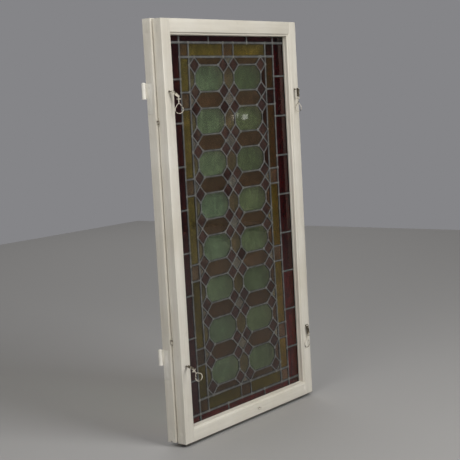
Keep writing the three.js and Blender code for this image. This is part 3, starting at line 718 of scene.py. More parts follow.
@dataclass
class Finishes:
    """Every finish in the window, each built once."""

    paint_upright: Material = made(OilPaint("oil_paint_upright", (1, 1, 0.05)).make)
    paint_level: Material = made(OilPaint("oil_paint_level", (0.05, 1, 1)).make)
    hinge_paint: Material = made(OilPaint("oil_paint_on_iron", (1, 1, 0.4), "#EBE7DD", "#DDD8CA").make)
    putty: Material = made(LinseedPutty().make)
    lead: Material = made(MilledLead().make)
    solder: Material = made(Solder().make)
    painted_steel: Material = made(DrawnSteel("painted_steel_wire", 0.4).make)
    brown_steel: Material = made(DrawnSteel("brown_steel_wire", 0.62).make)
    chipped_steel: Material = made(DrawnSteel("chipped_steel", 0.5).make)
    cathedral: Material = made(CathedralGlass("cathedral_glass").make)
    ruby: Material = made(CathedralGlass("flashed_ruby_glass", streaks=0.5, ripple_mm=14).make)
    sheet: Material = made(DrawnSheetGlass().make)


# ------------------------------------------------------------------------------ sashes


@dataclass
class Sash:
    """Four painted members, jointed at the corners, with their sharp edges eased by paint."""

    prefix: str
    body: str
    screw_hole: Point | None = None
    ease: float = 0.7
    joint_ease: float = 0.5
    long_edge: float = 180
    screw_radius: float = 2.2
    screw_depth: float = 8.0

    def build(self, finishes: Finishes) -> None:
        """Makes and dresses the four members.

        Args:
            finishes: The finishes to dress it with.
        """
        for member in ("stile_left", "stile_right", "rail_top", "rail_bottom"):
            node = f"{self.prefix}_{member}"
            piece = Bench.copy_of(node)
            self.round_edges(piece)
            if self.screw_hole and member == "rail_bottom":
                self.drill(piece)
            Bench.smooth(piece, 32)
            paint = finishes.paint_upright if "stile" in member else finishes.paint_level
            Fitted(self.body, "painted_wood", (node,)).fit(piece, f"{node}_painted", paint)

    def drill(self, piece: Piece) -> None:
        """Leaves the hole of a lost screw in the room side of a member.

        Args:
            piece: The piece.
        """
        x, z = self.screw_hole
        front = min(v.co.y for v in piece.data.vertices) / MM
        Bench.bore(piece, self.screw_radius, 2 * self.screw_depth, (x, front, z), 16, level=True)

    def round_edges(self, piece: Piece) -> None:
        """Rounds the long edges well and the edges at the joints hardly at all.

        Args:
            piece: The piece.
        """
        mesh = piece.data
        weights = mesh.attributes.new("bevel_weight_edge", "FLOAT", "EDGE")
        for edge in mesh.edges:
            a, b = (mesh.vertices[i].co for i in edge.vertices)
            long = (a - b).length > self.long_edge * MM
            weights.data[edge.index].value = 1.0 if long else self.joint_ease
        Bench.finish_with(piece, "BEVEL", width=self.ease * MM, segments=3, limit_method="WEIGHT")


@dataclass
class Trim:
    """Beads, putty and the clear pane."""

    def build(self, finishes: Finishes) -> None:
        """Dresses the nodes that hold the glass in the sashes.

        Args:
            finishes: The finishes to dress it with.
        """
        for side in ("left", "right", "top", "bottom"):
            level = side in ("top", "bottom")
            paint = finishes.paint_level if level else finishes.paint_upright
            self.dress(f"inner_bead_{side}", paint)
            self.dress(f"outer_putty_{side}", finishes.putty)
        self.dress("outer_pane", finishes.sheet)

    @staticmethod
    def dress(node: str, finish: Material) -> None:
        """Gives a CAD node its finish.

        Args:
            node: The node's name.
            finish: Its finish.
        """
        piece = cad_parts[node]
        piece.data.materials.clear()
        piece.data.materials.append(finish)
        LOG.info("%s: dressed", node)


# ------------------------------------------------------------------------------ leaded panel


class Came(Enum):
    """Face widths of the lead, in millimetres."""

    FIELD = 6.0
    LINE = 8.5
    CROSS = 6.5
    RIM = 9.0


class Kind(Enum):
    """What a quarry is called."""

    OCTAGON = "octagon"
    WIDE_HEXAGON = "wide_hexagon"
    TALL_HEXAGON = "tall_hexagon"
    CLEAR_DIAMOND = "clear_diamond"
    RED_DIAMOND = "red_diamond"
    YELLOW_STRIP = "yellow_strip"
    BROWN_STRIP = "brown_strip"
    BROWN_CORNER = "brown_corner"
    RUBY = "ruby"


class Tint(Enum):
    """Glass colours, as light seen through them; the darker low tints and the right-hand tints also hold
    painted light and shade.

    These values were fitted by another program and only partly adjusted. They should be
    replaced by values chosen by hand.
    """

    GREY_GREEN = "#A2AF95"
    DEEP_GREEN = "#919D83"
    MOSS_GREEN = "#9AA284"
    FERN_GREEN = "#8B9577"
    UMBER = "#8F7761"
    PINK_UMBER = "#8A6C59"
    DARK_UMBER = "#775E48"
    OLIVE = "#A29178"
    DARK_OLIVE = "#8E7E5F"
    HEATHER = "#826759"
    RUST = "#624439"
    SMOKE = "#C4BDB1"
    GREY_SMOKE = "#A9A194"
    DUSK = "#8C7371"
    MAROON = "#8F706B"
    DARK_MAROON = "#735450"
    OCHRE = "#AD9C60"
    DARK_OCHRE = "#7E7036"
    RUSSET = "#836944"
    GOLD = "#A69048"
    TAN = "#9E846A"
    PLUM = "#5F3336"
    RUBY = "#6E282A"
    BRIGHT_RUBY = "#8A2A27"


@dataclass
class Quarry:
    """One piece of glass on the cartoon.

    Args:
        kind: What it is.
        points: Its outline on the cames' middle lines, anticlockwise, in millimetres from the
            panel's middle.
        cames: The came along each edge.
    """

    kind: Kind
    points: list[Point]
    cames: list[Came]

    def middle(self) -> Point:
        """Gives the middle of its bounding box."""
        xs, zs = zip(*self.points)
        return (min(xs) + max(xs)) / 2, (min(zs) + max(zs)) / 2

    def inset(self, share: float, extra: float = 0.0) -> list[Point]:
        """Moves each edge inwards by a share of its came's half width.

        Args:
            share: The share, 1 for the came's full half width.
            extra: More to move by, in millimetres.

        Returns:
            The smaller outline, with as many points.
        """
        count = len(self.points)
        starts, ways = [], []
        for i, (ax, az) in enumerate(self.points):
            bx, bz = self.points[(i + 1) % count]
            length = math.hypot(bx - ax, bz - az)
            way = ((bx - ax) / length, (bz - az) / length)
            distance = self.cames[i].value / 2 * share + extra
            starts.append((ax - way[1] * distance, az + way[0] * distance))
            ways.append(way)
        corners = []
        for i in range(count):
            (lx, lz), (lu, lw) = starts[i - 1], ways[i - 1]
            (sx, sz), (u, w) = starts[i], ways[i]
            cross = lu * w - lw * u
            if abs(cross) < 1e-9:
                corners.append((sx, sz))
            else:
                reach = ((sx - lx) * w - (sz - lz) * u) / cross
                corners.append((lx + lu * reach, lz + lw * reach))
        return corners


@dataclass
class Cartoon:
    """The glazier's full-size drawing: where every quarry and every came goes."""

    columns: int = 2
    rows: int = 8
    cell: Point = (191.5, 127.0)
    diamond: Point = (25.5, 24.5)
    strip: float = 42.0
    sight: Point = (288.0, 569.75)
    quarries: list[Quarry] = field(default_factory=list)

    def __post_init__(self) -> None:
        """Draws the lattice and both borders."""
        self.field = (self.columns * self.cell[0] / 2, self.rows * self.cell[1] / 2)
        self.line = (self.field[0] + self.strip, self.field[1] + self.strip)
        self.rim = tuple(s + Came.RIM.value / 2 for s in self.sight)
        self.draw_lattice()
        self.draw_strips()
        self.draw_ruby()

    def draw(self, kind: Kind, points: Sequence[Point], cames: Sequence[Came]) -> None:
        """Adds a quarry.

        Args:
            kind: What it is.
            points: Its outline.
            cames: The came along each edge.
        """
        self.quarries.append(Quarry(kind, list(points), list(cames)))

    def draw_lattice(self) -> None:
        """Draws octagons, hexagons and diamonds, halved where they meet the border."""
        half, rise = self.diamond
        wide, tall = self.cell[0] / 2, self.cell[1] / 2
        diamond = [(half, 0), (0, rise), (-half, 0), (0, -rise)]
        tip, flat = wide - half, wide - 2 * half
        wide_hexagon = [(tip, 0), (flat, rise), (-flat, rise), (-tip, 0), (-flat, -rise), (flat, -rise)]
        top, side = tall - rise, tall - 2 * rise
        tall_hexagon = [(half, -side), (half, side), (0, top), (-half, side), (-half, -side), (0, -top)]
        octagon = [(tip, -side), (tip, side), (flat, top), (-flat, top)]
        octagon += [(-x, -z) for x, z in octagon]
        for column in range(self.columns + 1):
            for row in range(self.rows + 1):
                x = column * self.cell[0] - self.field[0]
                z = self.field[1] - row * self.cell[1]
                self.draw_clipped(Kind.CLEAR_DIAMOND, x, z, diamond)
                for sx, sz in ((1, 1), (-1, 1), (-1, -1), (1, -1)):
                    if abs(x + sx * half) < self.field[0] and abs(z + sz * rise) < self.field[1]:
                        self.draw_clipped(Kind.RED_DIAMOND, x + sx * half, z + sz * rise, diamond)
                if column < self.columns:
                    self.draw_clipped(Kind.WIDE_HEXAGON, x + wide, z, wide_hexagon)
                if row < self.rows:
                    self.draw_clipped(Kind.TALL_HEXAGON, x, z - tall, tall_hexagon)
                if column < self.columns and row < self.rows:
                    self.draw_clipped(Kind.OCTAGON, x + wide, z - tall, octagon)

    def draw_clipped(self, kind: Kind, x: float, z: float, outline: Sequence[Point]) -> None:
        """Draws an outline round a point, cut off at the lattice's edge.

        Args:
            kind: What the quarry is.
            x: How far right the point is.
            z: How far up it is.
            outline: The outline round the point.
        """
        points = [(x + dx, z + dz, Came.FIELD) for dx, dz in outline]
        for axis in (0, 1):
            for sign in (1, -1):
                points = self.cut_off(points, axis, sign)
        self.draw(kind, [(px, pz) for px, pz, _ in points], [came for _, _, came in points])

    def cut_off(self, points: list, axis: int, sign: int) -> list:
        """Cuts an outline at one edge of the lattice.

        Args:
            points: The outline, with the came that starts at each point.
            axis: 0 for an upright edge, 1 for a level one.
            sign: 1 for the edge at the right or top, -1 for the other.

        Returns:
            The part inside, with the line came along the cut.
        """
        limit = sign * self.field[axis]
        kept = []
        for i, point in enumerate(points):
            after = points[(i + 1) % len(points)]
            is_out, goes_out = (sign * (p[axis] - limit) > 1e-6 for p in (point, after))
            if not is_out:
                kept.append(point)
            if is_out != goes_out:
                share = (limit - point[axis]) / (after[axis] - point[axis])
                x, z = (point[k] + (after[k] - point[k]) * share for k in (0, 1))
                kept.append((x, z, Came.LINE if goes_out else point[2]))
        return [
            p for i, p in enumerate(kept) if math.dist(p[:2], kept[(i + 1) % len(kept)][:2]) > 1e-6
        ]

    def draw_box(self, kind: Kind, xs: Sequence[float], zs: Sequence[float], cames: Sequence[Came]) -> None:
        """Draws a rectangle, with its cames named for the bottom, right, top and left edges."""
        (x0, x1), (z0, z1) = sorted(xs), sorted(zs)
        self.draw(kind, [(x0, z0), (x1, z0), (x1, z1), (x0, z1)], cames)

    def draw_strips(self) -> None:
        """Draws the yellow strips, the short brown pieces between them and the corners."""
        half, rise = self.diamond
        line, cross = Came.LINE, Came.CROSS
        cuts = [self.field[1]]
        for row in range(1, self.rows, 2):
            z = self.field[1] - row * self.cell[1]
            cuts += [z + rise, z - rise]
        cuts.append(-self.field[1])
        for s in (-1, 1):
            across = (s * self.field[0], s * self.line[0])
            for i, (upper, lower) in enumerate(zip(cuts, cuts[1:])):
                kind = Kind.BROWN_STRIP if i % 2 else Kind.YELLOW_STRIP
                top = cross if i else line
                bottom = cross if i + 2 < len(cuts) else line
                self.draw_box(kind, across, (upper, lower), (bottom, line, top, line))
            up = (s * self.field[1], s * self.line[1])
            self.draw_box(Kind.YELLOW_STRIP, (-self.field[0], -half), up, (line, cross, line, line))
            self.draw_box(Kind.BROWN_STRIP, (-half, half), up, (line, cross, line, cross))
            self.draw_box(Kind.YELLOW_STRIP, (half, self.field[0]), up, (line, line, line, cross))
            for t in (-1, 1):
                self.draw_box(Kind.BROWN_CORNER, across, (t * self.field[1], t * self.line[1]), (line,) * 4)

    def draw_ruby(self) -> None:
        """Draws the ruby border, crossed by a came at the middle of each octagon."""
        line, cross, rim = Came.LINE, Came.CROSS, Came.RIM
        rows = [self.field[1] - (row + 0.5) * self.cell[1] for row in range(self.rows)]
        columns = [(column + 0.5) * self.cell[0] - self.field[0] for column in range(self.columns)]
        cuts_z = [self.line[1], *rows, -self.line[1]]
        cuts_x = [-self.line[0], *columns, self.line[0]]
        for s in (-1, 1):
            across = (s * self.line[0], s * self.rim[0])
            right, left = (rim, line) if s > 0 else (line, rim)
            for i, (upper, lower) in enumerate(zip(cuts_z, cuts_z[1:])):
                top = cross if i else line
                bottom = cross if i + 2 < len(cuts_z) else line
                self.draw_box(Kind.RUBY, across, (upper, lower), (bottom, right, top, left))
            for t in (-1, 1):
                top, bottom = (rim, line) if t > 0 else (line, rim)
                up = (t * self.line[1], t * self.rim[1])
                self.draw_box(Kind.RUBY, across, up, (bottom, right, top, left))
            top, bottom = (rim, line) if s > 0 else (line, rim)
            up = (s * self.line[1], s * self.rim[1])
            for i, (a, b) in enumerate(zip(cuts_x, cuts_x[1:])):
                left_end = cross if i else line
                right_end = cross if i + 2 < len(cuts_x) else line
                self.draw_box(Kind.RUBY, (a, b), up, (bottom, right_end, top, left_end))

    def junctions(self) -> list[Point]:
        """Lists every point where cames meet.

        Returns:
            The points.
        """
        seen: dict[tuple[int, int], Point] = {}
        for quarry in self.quarries:
            for x, z in quarry.points:
                seen.setdefault((round(x * 10), round(z * 10)), (x, z))
        return list(seen.values())

    def jointed(self, quarry: Quarry, joints: Sequence[Point]) -> Quarry:
        """Adds to a quarry's outline every joint that lies on one of its edges.

        Args:
            quarry: The quarry.
            joints: Every point where cames meet.

        Returns:
            A quarry with the same outline and more points.
        """
        points, cames = [], []
        count = len(quarry.points)
        for i, a in enumerate(quarry.points):
            b = quarry.points[(i + 1) % count]
            length = math.dist(a, b)
            on_edge = []
            for p in joints:
                from_a, to_b = math.dist(a, p), math.dist(p, b)
                if min(from_a, to_b) > 0.5 and from_a + to_b - length < 1e-3:
                    on_edge.append((from_a, p))
            chain = [a] + [p for _, p in sorted(on_edge)]
            points += chain
            cames += [quarry.cames[i]] * len(chain)
        return Quarry(quarry.kind, points, cames)


@dataclass
class LeadedPanel:
    """The leaded light: a net of cames, solder at every joint, and glass in every opening."""

    middle: Point = (342.5, -3.75)
    front: float = -25.6
    came_thick: float = 5.4
    shoulder: float = 1.3
    glass_thick: float = 2.4
    glass_bite: float = 1.0
    bow: float = 11.0
    solder_size: float = 5.0
    solder_rise: float = 0.9
    ground_edge: float = 4.0
    lean: float = 0.004
    lean_limit: float = 0.35
    odd_diamonds: float = 0.12
    cartoon: Cartoon = field(default_factory=Cartoon)
    body: str = "inner_sash"

    def sag(self, x: float, z: float) -> float:
        """Gives how far the old panel stands back at a point of the cartoon.

        Args:
            x: How far right the point is.
            z: How far up it is.

        Returns:
            The distance in millimetres.
        """
        across_x = max(0.0, 1 - (x / self.cartoon.sight[0]) ** 2)
        across_z = max(0.0, 1 - (z / self.cartoon.sight[1]) ** 2)
        return self.bow * across_x * across_z

    def set_in(self, piece: Piece) -> None:
        """Bends a piece drawn flat on the cartoon to the panel's sag and sets it in the sash.

        Args:
            piece: The piece.
        """
        for vertex in piece.data.vertices:
            x, y, z = vertex.co / MM
            vertex.co = Vector((x + self.middle[0], y + self.front + self.sag(x, z), z + self.middle[1])) * MM

    def build(self, finishes: Finishes) -> None:
        """Makes the net, the solder and the glass.

        Args:
            finishes: The finishes to dress it with.
        """
        joints = self.cartoon.junctions()
        self.build_net(joints, finishes)
        self.build_solder(joints, finishes)
        self.build_glass(finishes)

    def build_net(self, joints: Sequence[Point], finishes: Finishes) -> None:
        """Makes the cames: oval in section, full in the middle and thin where they lap the glass.

        The cames' widths differ from edge to edge of a quarry, which no inset can follow, so each
        quarry's rings are drawn from its outline and the two rims are bridged in edit mode.

        Args:
            joints: Every point where cames meet.
            finishes: The finishes to dress it with.
        """
        vertices: list[tuple[float, float, float]] = []
        faces: list[tuple[int, ...]] = []
        found: dict[tuple[int, int, int], int] = {}

        def spot(x: float, y: float, z: float) -> int:
            """Gives the number of the vertex at a place, added where there is none.

            Args:
                x: How far right it is.
                y: How far back it is.
                z: How far up it is.

            Returns:
                The number.
            """
            key = (round(x * 100), round(y * 100), round(z * 100))
            if key not in found:
                found[key] = len(vertices)
                vertices.append((x * MM, y * MM, z * MM))
            return found[key]

        room_side = [(0.0, 0.0), (0.35, 0.1), (0.7, 0.45), (1.0, self.shoulder)]
        far_side = [(share, self.came_thick - depth) for share, depth in reversed(room_side)]
        levels = room_side + far_side
        laps: dict[int, float] = {}
        for quarry in self.cartoon.quarries:
            drawn = self.cartoon.jointed(quarry, joints)
            rings = []
            for share, depth in levels:
                rings.append([spot(x, depth, z) for x, z in drawn.inset(share)])
                laps.update({number: share for number in rings[-1]})
            count = len(drawn.points)
            for outer, inner in zip(rings, rings[1:]):
                for i in range(count):
                    j = (i + 1) % count
                    faces.append((outer[i], outer[j], inner[j], inner[i]))
        mesh = bpy.data.meshes.new("came_net")
        mesh.from_pydata(vertices, [], faces)
        lap = mesh.attributes.new("lap", "FLOAT", "POINT")
        for number, share in laps.items():
            lap.data[number].value = share
        piece = bpy.data.objects.new("came_net", mesh)
        bpy.context.scene.collection.objects.link(piece)
        Bench.edit(piece, "DESELECT")
        bpy.ops.mesh.select_non_manifold(extend=False)
        bpy.ops.mesh.bridge_edge_loops()
        Bench.closed()
        self.set_in(piece)
        Bench.smooth(piece, 50)
        Fitted(self.body, "lead_came", ("came_net",)).fit(piece, "lead_cames", finishes.lead)

    def build_solder(self, joints: Sequence[Point], finishes: Finishes) -> None:
        """Makes a flat lump of solder over each joint, front and back.

        Args:
            joints: Every point where cames meet.
            finishes: The finishes to dress it with.
        """
        rng = random.Random(11)
        Bench.clear()
        bpy.ops.mesh.primitive_uv_sphere_add(segments=12, ring_count=6, radius=MM)
        lump = bpy.context.object
        lumps = []
        for x, z in joints:
            if abs(x) > self.cartoon.sight[0] - 1 or abs(z) > self.cartoon.sight[1] - 1:
                continue
            for y in (0.5, self.came_thick - 0.5):
                wide, tall = (self.solder_size * rng.uniform(0.75, 1.15) for _ in range(2))
                size = Matrix.Diagonal((wide, self.solder_rise, tall, 1))
                turn = Matrix.Rotation(rng.uniform(0, math.pi), 4, "Y")
                copy = bpy.data.objects.new("lump", lump.data.copy())
                copy.data.transform(Matrix.Translation(Vector((x, y, z)) * MM) @ turn @ size)
                bpy.context.scene.collection.objects.link(copy)
                lumps.append(copy)
        bpy.data.objects.remove(lump)
        piece = Bench.join(lumps)
        Bench.edit(piece)
        Bench.closed()
        self.set_in(piece)
        Bench.smooth(piece, 60)
        Fitted(self.body, "lead_came").fit(piece, "solder_joints", finishes.solder)

    def build_glass(self, finishes: Finishes) -> None:
        """Cuts, tints and sets every quarry.

        Args:
            finishes: The finishes to dress it with.
        """
        rng = random.Random(7)
        counts: dict[Kind, int] = {}
        for quarry in self.cartoon.quarries:
            counts[quarry.kind] = counts.get(quarry.kind, 0) + 1
            piece = self.cut_quarry(quarry)
            self.paint_tint(piece, quarry, rng)
            self.tilt(piece, quarry, rng)
            self.set_in(piece)
            name = f"glass_{quarry.kind.value}_{counts[quarry.kind]:02d}"
            glass = finishes.ruby if quarry.kind is Kind.RUBY else finishes.cathedral
            node = self.node_for(quarry)
            slot = "green_glass" if quarry.kind is Kind.OCTAGON else "yellow_glass"
            Fitted(self.body, slot, (node,) if node else ()).fit(piece, name, glass)

    def node_for(self, quarry: Quarry) -> str | None:
        """Gives the CAD node that a quarry stands for, if it has one.

        Args:
            quarry: The quarry.

        Returns:
            The node's name, or nothing.
        """
        x, z = quarry.middle()
        if quarry.kind is Kind.OCTAGON:
            column = 1 if x < 0 else 2
            row = round((self.cartoon.field[1] - z) / self.cartoon.cell[1] + 0.5)
            return f"quarry_octagon_r{row}_c{column}"
        tall = max(p[1] for p in quarry.points) - min(p[1] for p in quarry.points)
        if quarry.kind is Kind.YELLOW_STRIP and tall > 1.2 * self.cartoon.cell[1]:
            side = "left" if x < 0 else "right"
            number = round((self.cartoon.field[1] - z) / (2 * self.cartoon.cell[1]))
            return f"quarry_strip_{side}_{number}"
        return None

    def cut_quarry(self, quarry: Quarry) -> Piece:
        """Cuts one quarry from a sheet, edge by edge, and grinds a narrow margin round it.

        Args:
            quarry: The quarry.

        Returns:
            The quarry, flat on the cartoon.
        """
        outline = quarry.inset(1.0, -self.glass_bite)
        xs, zs = zip(*outline)
        x, z = quarry.middle()
        reach = max(max(xs) - min(xs), max(zs) - min(zs)) + 4
        front = (self.came_thick - self.glass_thick) / 2
        Bench.clear()
        bpy.ops.mesh.primitive_plane_add(
            size=reach * MM, location=(x * MM, front * MM, z * MM), rotation=(math.pi / 2, 0, 0)
        )
        piece = Bench.settled()
        Bench.edit(piece)
        for i, (ax, az) in enumerate(outline):
            bx, bz = outline[(i + 1) % len(outline)]
            bpy.ops.mesh.select_all(action="SELECT")
            bpy.ops.mesh.bisect(
                plane_co=(ax * MM, 0, az * MM),
                plane_no=(bz - az, 0, ax - bx),
                clear_outer=True,
                threshold=1e-7,
            )
        bpy.ops.mesh.select_all(action="SELECT")
        bpy.ops.mesh.inset(thickness=self.ground_edge * MM, depth=0)
        bpy.ops.mesh.select_all(action="SELECT")
        bpy.ops.mesh.extrude_region_move(TRANSFORM_OT_translate={"value": (0, self.glass_thick * MM, 0)})
        return Bench.closed()

    def paint_tint(self, piece: Piece, quarry: Quarry, rng: random.Random) -> None:
        """Gives a quarry its tint, its batch and the dirt and painted shade along its edges.

        Args:
            piece: The piece.
            quarry: The quarry.
            rng: Where its chances come from.
        """
        mesh = piece.data
        count = len(mesh.vertices)
        base = linear(self.tint_of(quarry, rng).value)
        value = rng.uniform(0.93, 1.07)
        warm = rng.uniform(-0.03, 0.03)
        tint = (base[0] * value * (1 + warm), base[1] * value, base[2] * value * (1 - warm), 1.0)
        batch = [rng.uniform(0, 5) for _ in range(3)] + [1.0]
        outline = quarry.inset(1.0, -self.glass_bite)
        for name, colour in (("tint", tint), ("batch", batch)):
            layer = mesh.color_attributes.new(name, "FLOAT_COLOR", "POINT")
            layer.data.foreach_set("color", list(colour) * count)
        # Marks the glass's edge, where dirt and painted shade darken it.
        grime_and_shade = mesh.attributes.new("grime_and_shade", "FLOAT", "POINT")
        for vertex in mesh.vertices:
            x, _, z = vertex.co / MM
            near = min(math.dist((x, z), corner) for corner in outline)
            grime_and_shade.data[vertex.index].value = 1.0 if near < 0.5 else 0.0

    def tint_of(self, quarry: Quarry, rng: random.Random) -> Tint:
        """Chooses a quarry's tint by its kind and its place in the panel; the darker low tints and the
        right-hand tints partly paint in the light and shade of what shows through the glass.

        Args:
            quarry: The quarry.
            rng: Where its chances come from.

        Returns:
            The tint.
        """
        x, z = quarry.middle()
        step = self.cartoon.cell[1]
        # The low and right-hand zones pick tints that partly hold painted light and shade of what lies behind
        # the glass.
        high, low, right = z > 1.3 * step, z < -1.3 * step, x > 0.5 * self.cartoon.cell[0]
        if quarry.kind is Kind.OCTAGON:
            if x < 0:
                return Tint.DEEP_GREEN if low else Tint.GREY_GREEN
            return Tint.FERN_GREEN if low else Tint.MOSS_GREEN
        if quarry.kind is Kind.WIDE_HEXAGON:
            if low:
                return Tint.DARK_UMBER
            return Tint.PINK_UMBER if right else Tint.UMBER
        if quarry.kind is Kind.TALL_HEXAGON:
            if right:
                return Tint.RUST if high else Tint.HEATHER
            return Tint.DARK_OLIVE if low else Tint.OLIVE
        if quarry.kind is Kind.CLEAR_DIAMOND:
            if right and high:
                return Tint.DUSK
            return Tint.GREY_SMOKE if low and not right else Tint.SMOKE
        if quarry.kind is Kind.RED_DIAMOND:
            return Tint.DARK_MAROON if low or rng.random() < self.odd_diamonds else Tint.MAROON
        if quarry.kind is Kind.YELLOW_STRIP:
            if abs(z) > self.cartoon.field[1]:
                return Tint.DARK_OCHRE if low else Tint.OCHRE
            if right:
                return Tint.RUSSET if high else Tint.GOLD
            return Tint.DARK_OCHRE if low else Tint.OCHRE
        if quarry.kind in (Kind.BROWN_STRIP, Kind.BROWN_CORNER):
            if right and high:
                return Tint.RUST
            return Tint.DARK_UMBER if low and not right else Tint.TAN
        if right and abs(z) < self.cartoon.line[1]:
            return Tint.BRIGHT_RUBY if low else Tint.RUBY
        return Tint.RUBY if z < -self.cartoon.line[1] else Tint.PLUM

    def tilt(self, piece: Piece, quarry: Quarry, rng: random.Random) -> None:
        """Leans a quarry a hair out of the panel's plane, so that each one shines on its own.

        Args:
            piece: The piece.
            quarry: The quarry.
            rng: Where its chances come from.
        """
        x, z = quarry.middle()
        lean_x, lean_z = (rng.uniform(-self.lean, self.lean) for _ in range(2))
        limit = self.lean_limit * MM
        for vertex in piece.data.vertices:
            dx, dz = vertex.co.x - x * MM, vertex.co.z - z * MM
            vertex.co.y += max(-limit, min(limit, dx * lean_x + dz * lean_z))


# ------------------------------------------------------------------------------ hinges


@dataclass
class MainHinge:
    """The sash half of a lift-off hinge, under many coats of paint."""

    name: str
    top: float
    back: float = 14.5
    out: float = 5.0
    radius: float = 6.2
    height: float = 48.0
    bore: float = 3.5
    leaf: tuple[float, float, float] = (20.0, 88.0, 2.0)
    let_in: float = 3.0
    screw: float = 3.6
    collar: float = 0.7

    def build(self, finishes: Finishes) -> None:
        """Makes and dresses the hinge.

        Args:
            finishes: The finishes to dress it with.
        """
        piece = Bench.join([self.knuckle(), self.plate(), self.neck(), *self.screws()])
        Bench.smooth(piece, 40)
        place = Fitted("outer_sash", "painted_iron", (self.name,))
        place.fit(piece, f"{self.name}_painted", finishes.hinge_paint)

    def knuckle(self) -> Piece:
        """Turns the knuckle: bored from below, with a collar at its foot and a domed top.

        Returns:
            The knuckle.
        """
        r, h = self.radius, self.height
        deep, wide = h - r - 4, r + self.collar
        stations = [(self.bore, deep), (self.bore, 0.6), (self.bore + 0.5, 0.0), (r + 0.4, 0.0)]
        stations += [(wide, 0.5), (wide, 1.6), (r + 0.3, 2.6), (r, 3.6), (r, h - 0.8 * r)]
        for i in range(1, 7):
            angle = math.radians(15 * i)
            stations.append((max(0.3, r * math.cos(angle)), h - 0.8 * r * (1 - math.sin(angle))))
        return Bench.turned((-self.out, self.back + self.out, self.top - h), stations)

    def plate(self) -> Piece:
        """Makes the leaf that is let into the sash's edge.

        Returns:
            The leaf.
        """
        wide, tall, thick = self.leaf
        top = self.top - self.let_in
        return Bench.block((0.0, self.back - wide, top - tall), (thick, self.back, top), 0.4)

    def neck(self) -> Piece:
        """Makes the bend of the leaf that wraps into the knuckle.

        Returns:
            The neck.
        """
        low = (-1.2, self.back - 1.2, self.top - self.height + 4)
        high = (self.leaf[2], self.back + self.out - 1.2, self.top - self.let_in)
        return Bench.block(low, high, 0.5)

    def screws(self) -> list[Piece]:
        """Makes the countersunk screws, filled over by paint.

        Returns:
            The screw heads.
        """
        heads = []
        for down, in_from_edge in ((0.14, 0.6), (0.5, 0.45), (0.86, 0.6)):
            Bench.clear()
            z = self.top - self.let_in - self.leaf[1] * down
            y = self.back - self.leaf[0] * in_from_edge
            bpy.ops.mesh.primitive_uv_sphere_add(
                segments=20,
                ring_count=10,
                radius=self.screw * MM,
                location=(0.25 * MM, y * MM, z * MM),
                rotation=(0, math.pi / 2, 0),
                scale=(1, 1, 0.16),
            )
            heads.append(Bench.settled())
        return heads


@dataclass
class CouplingHinge:
    """A small loose-pin hinge between the two sashes."""

    place: str
    z: float
    x: float = 4.7
    y: float = -17.8
    radius: float = 3.0
    half: float = 6.0
    pin: float = 1.4
    bore: float = 1.8
    leaf: tuple[float, float, float] = (18.0, 26.0, 1.0)

    def build(self, finishes: Finishes) -> None:
        """Makes both leaves.

        Args:
            finishes: The finishes to dress it with.
        """
        front = self.y + self.radius - self.leaf[2]
        outer = Bench.join([self.segment(-self.half, -0.15), self.post(), *self.plates(front, -1)])
        Bench.smooth(outer)
        name = f"coupling_hinge_{self.place}_outer"
        Fitted("outer_sash", "painted_iron", (name,)).fit(outer, f"{name}_leaf", finishes.painted_steel)
        inner = Bench.join([self.sleeve(), *self.plates(self.y + 0.2, 1)])
        Bench.smooth(inner)
        name = f"coupling_hinge_{self.place}_inner"
        Fitted("inner_sash", "painted_iron", (name,)).fit(inner, f"{name}_leaf", finishes.brown_steel)

    def segment(self, low: float, high: float) -> Piece:
        """Turns a solid half of the knuckle between two heights from its middle.

        Args:
            low: The lower height.
            high: The upper height.

        Returns:
            The half.
        """
        r = self.radius
        stations = [(r - 0.6, low), (r, low + 0.5), (r, high - 0.2), (r - 0.2, high)]
        return Bench.turned((self.x, self.y, self.z), stations, 24)

    def post(self) -> Piece:
        """Turns the pin."""
        stations = [(self.pin, -1.0), (self.pin, self.half - 0.4), (self.pin - 0.4, self.half)]
        return Bench.turned((self.x, self.y, self.z), stations, 20)

    def sleeve(self) -> Piece:
        """Turns the bored half of the knuckle.

        Returns:
            The half.
        """
        r, high = self.radius, self.half
        stations = [(self.bore, 0.15), (self.bore, high), (r - 0.5, high)]
        stations += [(r, high - 0.5), (r, 0.35), (r - 0.2, 0.15)]
        piece = Bench.turned((self.x, self.y, self.z), stations, 24)
        Bench.edit(piece, "DESELECT")
        bpy.ops.object.mode_set(mode="OBJECT")
        floor = (self.z + 0.15) * MM
        caps = [p for p in piece.data.polygons if len(p.vertices) == 24 and abs(p.center.z - floor) < 1e-6]
        for polygon in caps:
            polygon.select = True
        bpy.ops.object.mode_set(mode="EDIT")
        bpy.ops.mesh.select_mode(type="FACE")
        if len(caps) == 2:
            bpy.ops.mesh.bridge_edge_loops()
        bpy.ops.mesh.select_mode(type="VERT")
        return Bench.closed()

    def plates(self, front: float, way: int) -> list[Piece]:
        """Makes a leaf and the tab that joins it to its half of the knuckle.

        Args:
            front: The leaf's room side.
            way: 1 if the tab is on the upper half, -1 on the lower.

        Returns:
            The tab and the leaf.
        """
        wide, tall, thick = self.leaf
        edge = self.x + self.radius + 0.6
        low, high = sorted((way * 0.3, way * self.half))
        tab = Bench.block((self.x + 1.9, front, self.z + low), (edge + 1, front + thick, self.z + high), 0.1)
        foot, head = (edge, front, self.z - tall / 2), (self.x + wide, front + thick, self.z + tall / 2)
        return [tab, Bench.block(foot, head, 0.15)]


# ------------------------------------------------------------------------------ hooks


